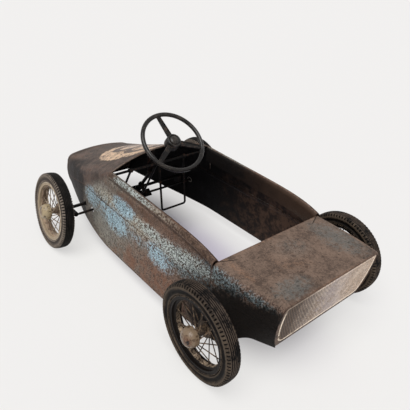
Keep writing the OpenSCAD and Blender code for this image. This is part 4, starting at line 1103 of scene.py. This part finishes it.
def tail_panel():
    """A flat leaning panel; a bead is a bell round an inset of its outline."""
    y = float(TAIL_LEN)
    lean = lean_at(y)
    slant = math.sqrt(1 + lean ** 2)
    low, high = skirt_h(y) + TAIL_INSET, DECK_Z - TAIL_INSET
    z = np.linspace(low, high, TAIL_ROWS)[:, None]
    top = side_top(y)
    width = np.where(z < top, side_x(y, np.minimum(z, top)), 0)
    up = np.clip(z - top, 0, DECK_BEND_R)
    bend = lip_x(y) - DECK_BEND_R + np.sqrt(DECK_BEND_R ** 2 - up ** 2)
    width = np.where(z < top, width, bend) - TAIL_INSET
    x = width * np.linspace(1, -1, TAIL_COLUMNS)[None]
    dx = (width - abs(x)) * SIDE_SLANT
    dz = np.minimum(z - low, (high - z) + TOP_MARGIN) * slant + 0 * x
    a, b = TAIL_CORNER - dx, TAIL_CORNER - dz
    lower = z < (low + high) / 2
    border = np.where((a > 0) & (b > 0) & lower, TAIL_CORNER - np.hypot(a, b), np.minimum(dx, dz))
    bead = BEAD_H * np.exp(-((border - BEAD_AT) / BEAD_W * BEAD_STEEP) ** 2)
    raised = bead - TAIL_SINK
    base_y = y - lean * (DECK_Z - z)

    def skin(out):
        """One skin of the panel, moved outwards from the flat panel."""
        return np.stack([x, base_y + out / slant, z + out * lean / slant + 0 * x], -1)

    front, back = skin(raised), skin(np.full(x.shape, -TAIL_SINK - SHEET))
    points = np.concatenate([front, back[:, ::-1]], 1)
    rows, half = x.shape
    marks = {"border": np.concatenate([border, border[:, ::-1]], 1),
             "inner": np.concatenate([0 * x, 0 * x + 1], 1)}
    piece = add_mesh("tail_skin", points, shell_faces(rows, half), TAIL_PAINT, marks, 50)
    dress(piece, "tail_panel")


bonnet()
for side, mirrored in (("left", False), ("right", True)):
    upper_side(side, mirrored)
    lower_side(side, mirrored)
rear_deck()
deck_flange()
tail_panel()
RIM_PAINT = {}
for wheel in ("front_left", "front_right", "rear_left", "rear_right"):
    axis = joint_axis("rear_axle_spin" if wheel == "rear_left" else f"{wheel}_wheel_spin")
    tyre(wheel, axis)
    shades = FRONT_RIM if wheel.startswith("front") else REAR_RIM
    RIM_PAINT[wheel] = rim_paint(f"{wheel}_rim_paint", middle(f"{wheel}_rim"), axis, shades)


# Finishes of the frame parts that show

def finish_of(name):
    """The material of a frame part, from its name."""
    front = name.startswith("front")
    if name == "steering_wheel_spider":
        return SPIDER_STEEL
    if name.startswith("steering_wheel"):
        return BLACK_GRIP
    if name in ("bonnet", "rear_deck", "nose_ring") or name.endswith("side"):
        return BODY_PAINT
    if name == "tail_panel":
        return TAIL_PAINT
    if name == "column_bracket":
        return BROWN_STEEL
    if name.endswith("tyre"):
        return FRONT_RUBBER if front else REAR_RUBBER
    if name.endswith("_rim"):
        return RIM_PAINT[name.removesuffix("_rim")]
    if name.endswith(("spokes", "hub")):
        return FRONT_SPOKES if front else REAR_SPOKES
    if name.endswith("hub_cap"):
        return FRONT_CAP if front else REAR_CAP
    return FRAME_STEEL


for name, node in frame["nodes"].items():
    node.data.materials.clear()
    node.data.materials.append(finish_of(name))


# Floor, sun and sky

# The unshaded share of the floor's colour that the camera sees away from the car, and the reach of the
# shadow painted into the floor round the car
FLOOR_UNSHADED, SHADE_X, SHADE_Y = 0.68, 190, 560
FLOOR_REACH = 60


def add_floor():
    """A wide pale floor with a painted shadow, darker and lilac, round the car; away from the car camera
    rays see part of its colour unshaded, which pales the shadow.
    """
    mesh = bpy.data.meshes.new("floor")
    square = [(x * FLOOR_REACH, y * FLOOR_REACH, 0) for x, y in ((-1, -1), (1, -1), (1, 1), (-1, 1))]
    mesh.from_pydata(square, [], [(0, 1, 2, 3)])
    f = Finish("floor")
    seen = f.node("ShaderNodeEmission", {}, {"Color": tint(241, 240, 238)})
    away = f.rise(((f.axis("X") / SHADE_X) ** 2 + (f.axis("Y") / SHADE_Y) ** 2) ** 0.5, 0.4, 1.3)
    share = f.node("ShaderNodeLightPath", {}, {}, "Is Camera Ray") * (FLOOR_UNSHADED * away)
    # Painted shadow: the floor's own colour is darker and lilac near the car
    colour = f.mix((206, 201, 212), (240, 240, 234), away)
    lit = f.node("ShaderNodeBsdfDiffuse", {}, {"Color": colour})
    mesh.materials.append(f.ended_by(f.node("ShaderNodeMixShader", {}, {0: share, 1: lit, 2: seen})))
    add_object("floor", mesh)


def add_sun(towards, strength, softness):
    """A wide soft sun that shines from a direction, which is given as a vector towards it."""
    sun = add_object("sun", bpy.data.lights.new("sun", "SUN"))
    sun.data.energy = strength
    sun.data.angle = math.radians(softness)
    sun.rotation_mode = "QUATERNION"
    sun.rotation_quaternion = Vector(towards).to_track_quat("Z", "Y")


def add_sky(strength, seen):
    """A faint even sky that camera, glossy and transmission rays see brighter."""
    f = Finish("sky", sky=True)
    camera, glossy, through = (f.node("ShaderNodeLightPath", {}, {}, f"Is {kind} Ray")
                               for kind in ("Camera", "Glossy", "Transmission"))
    either = camera | glossy | through
    level = f.node("ShaderNodeMapRange", {}, {"Value": either, "To Min": strength, "To Max": seen})
    colour = f.mix((236, 227, 250), (246, 244, 242), either)
    background = f.node("ShaderNodeBackground", {}, {"Color": colour, "Strength": level})
    bpy.context.scene.world = f.ended_by(background)


add_floor()
add_sun(towards=(0.55, 0.4, 1.4), strength=2.55, softness=50)
add_sky(strength=0.36, seen=0.9)
bpy.context.scene.view_settings.view_transform = "Standard"
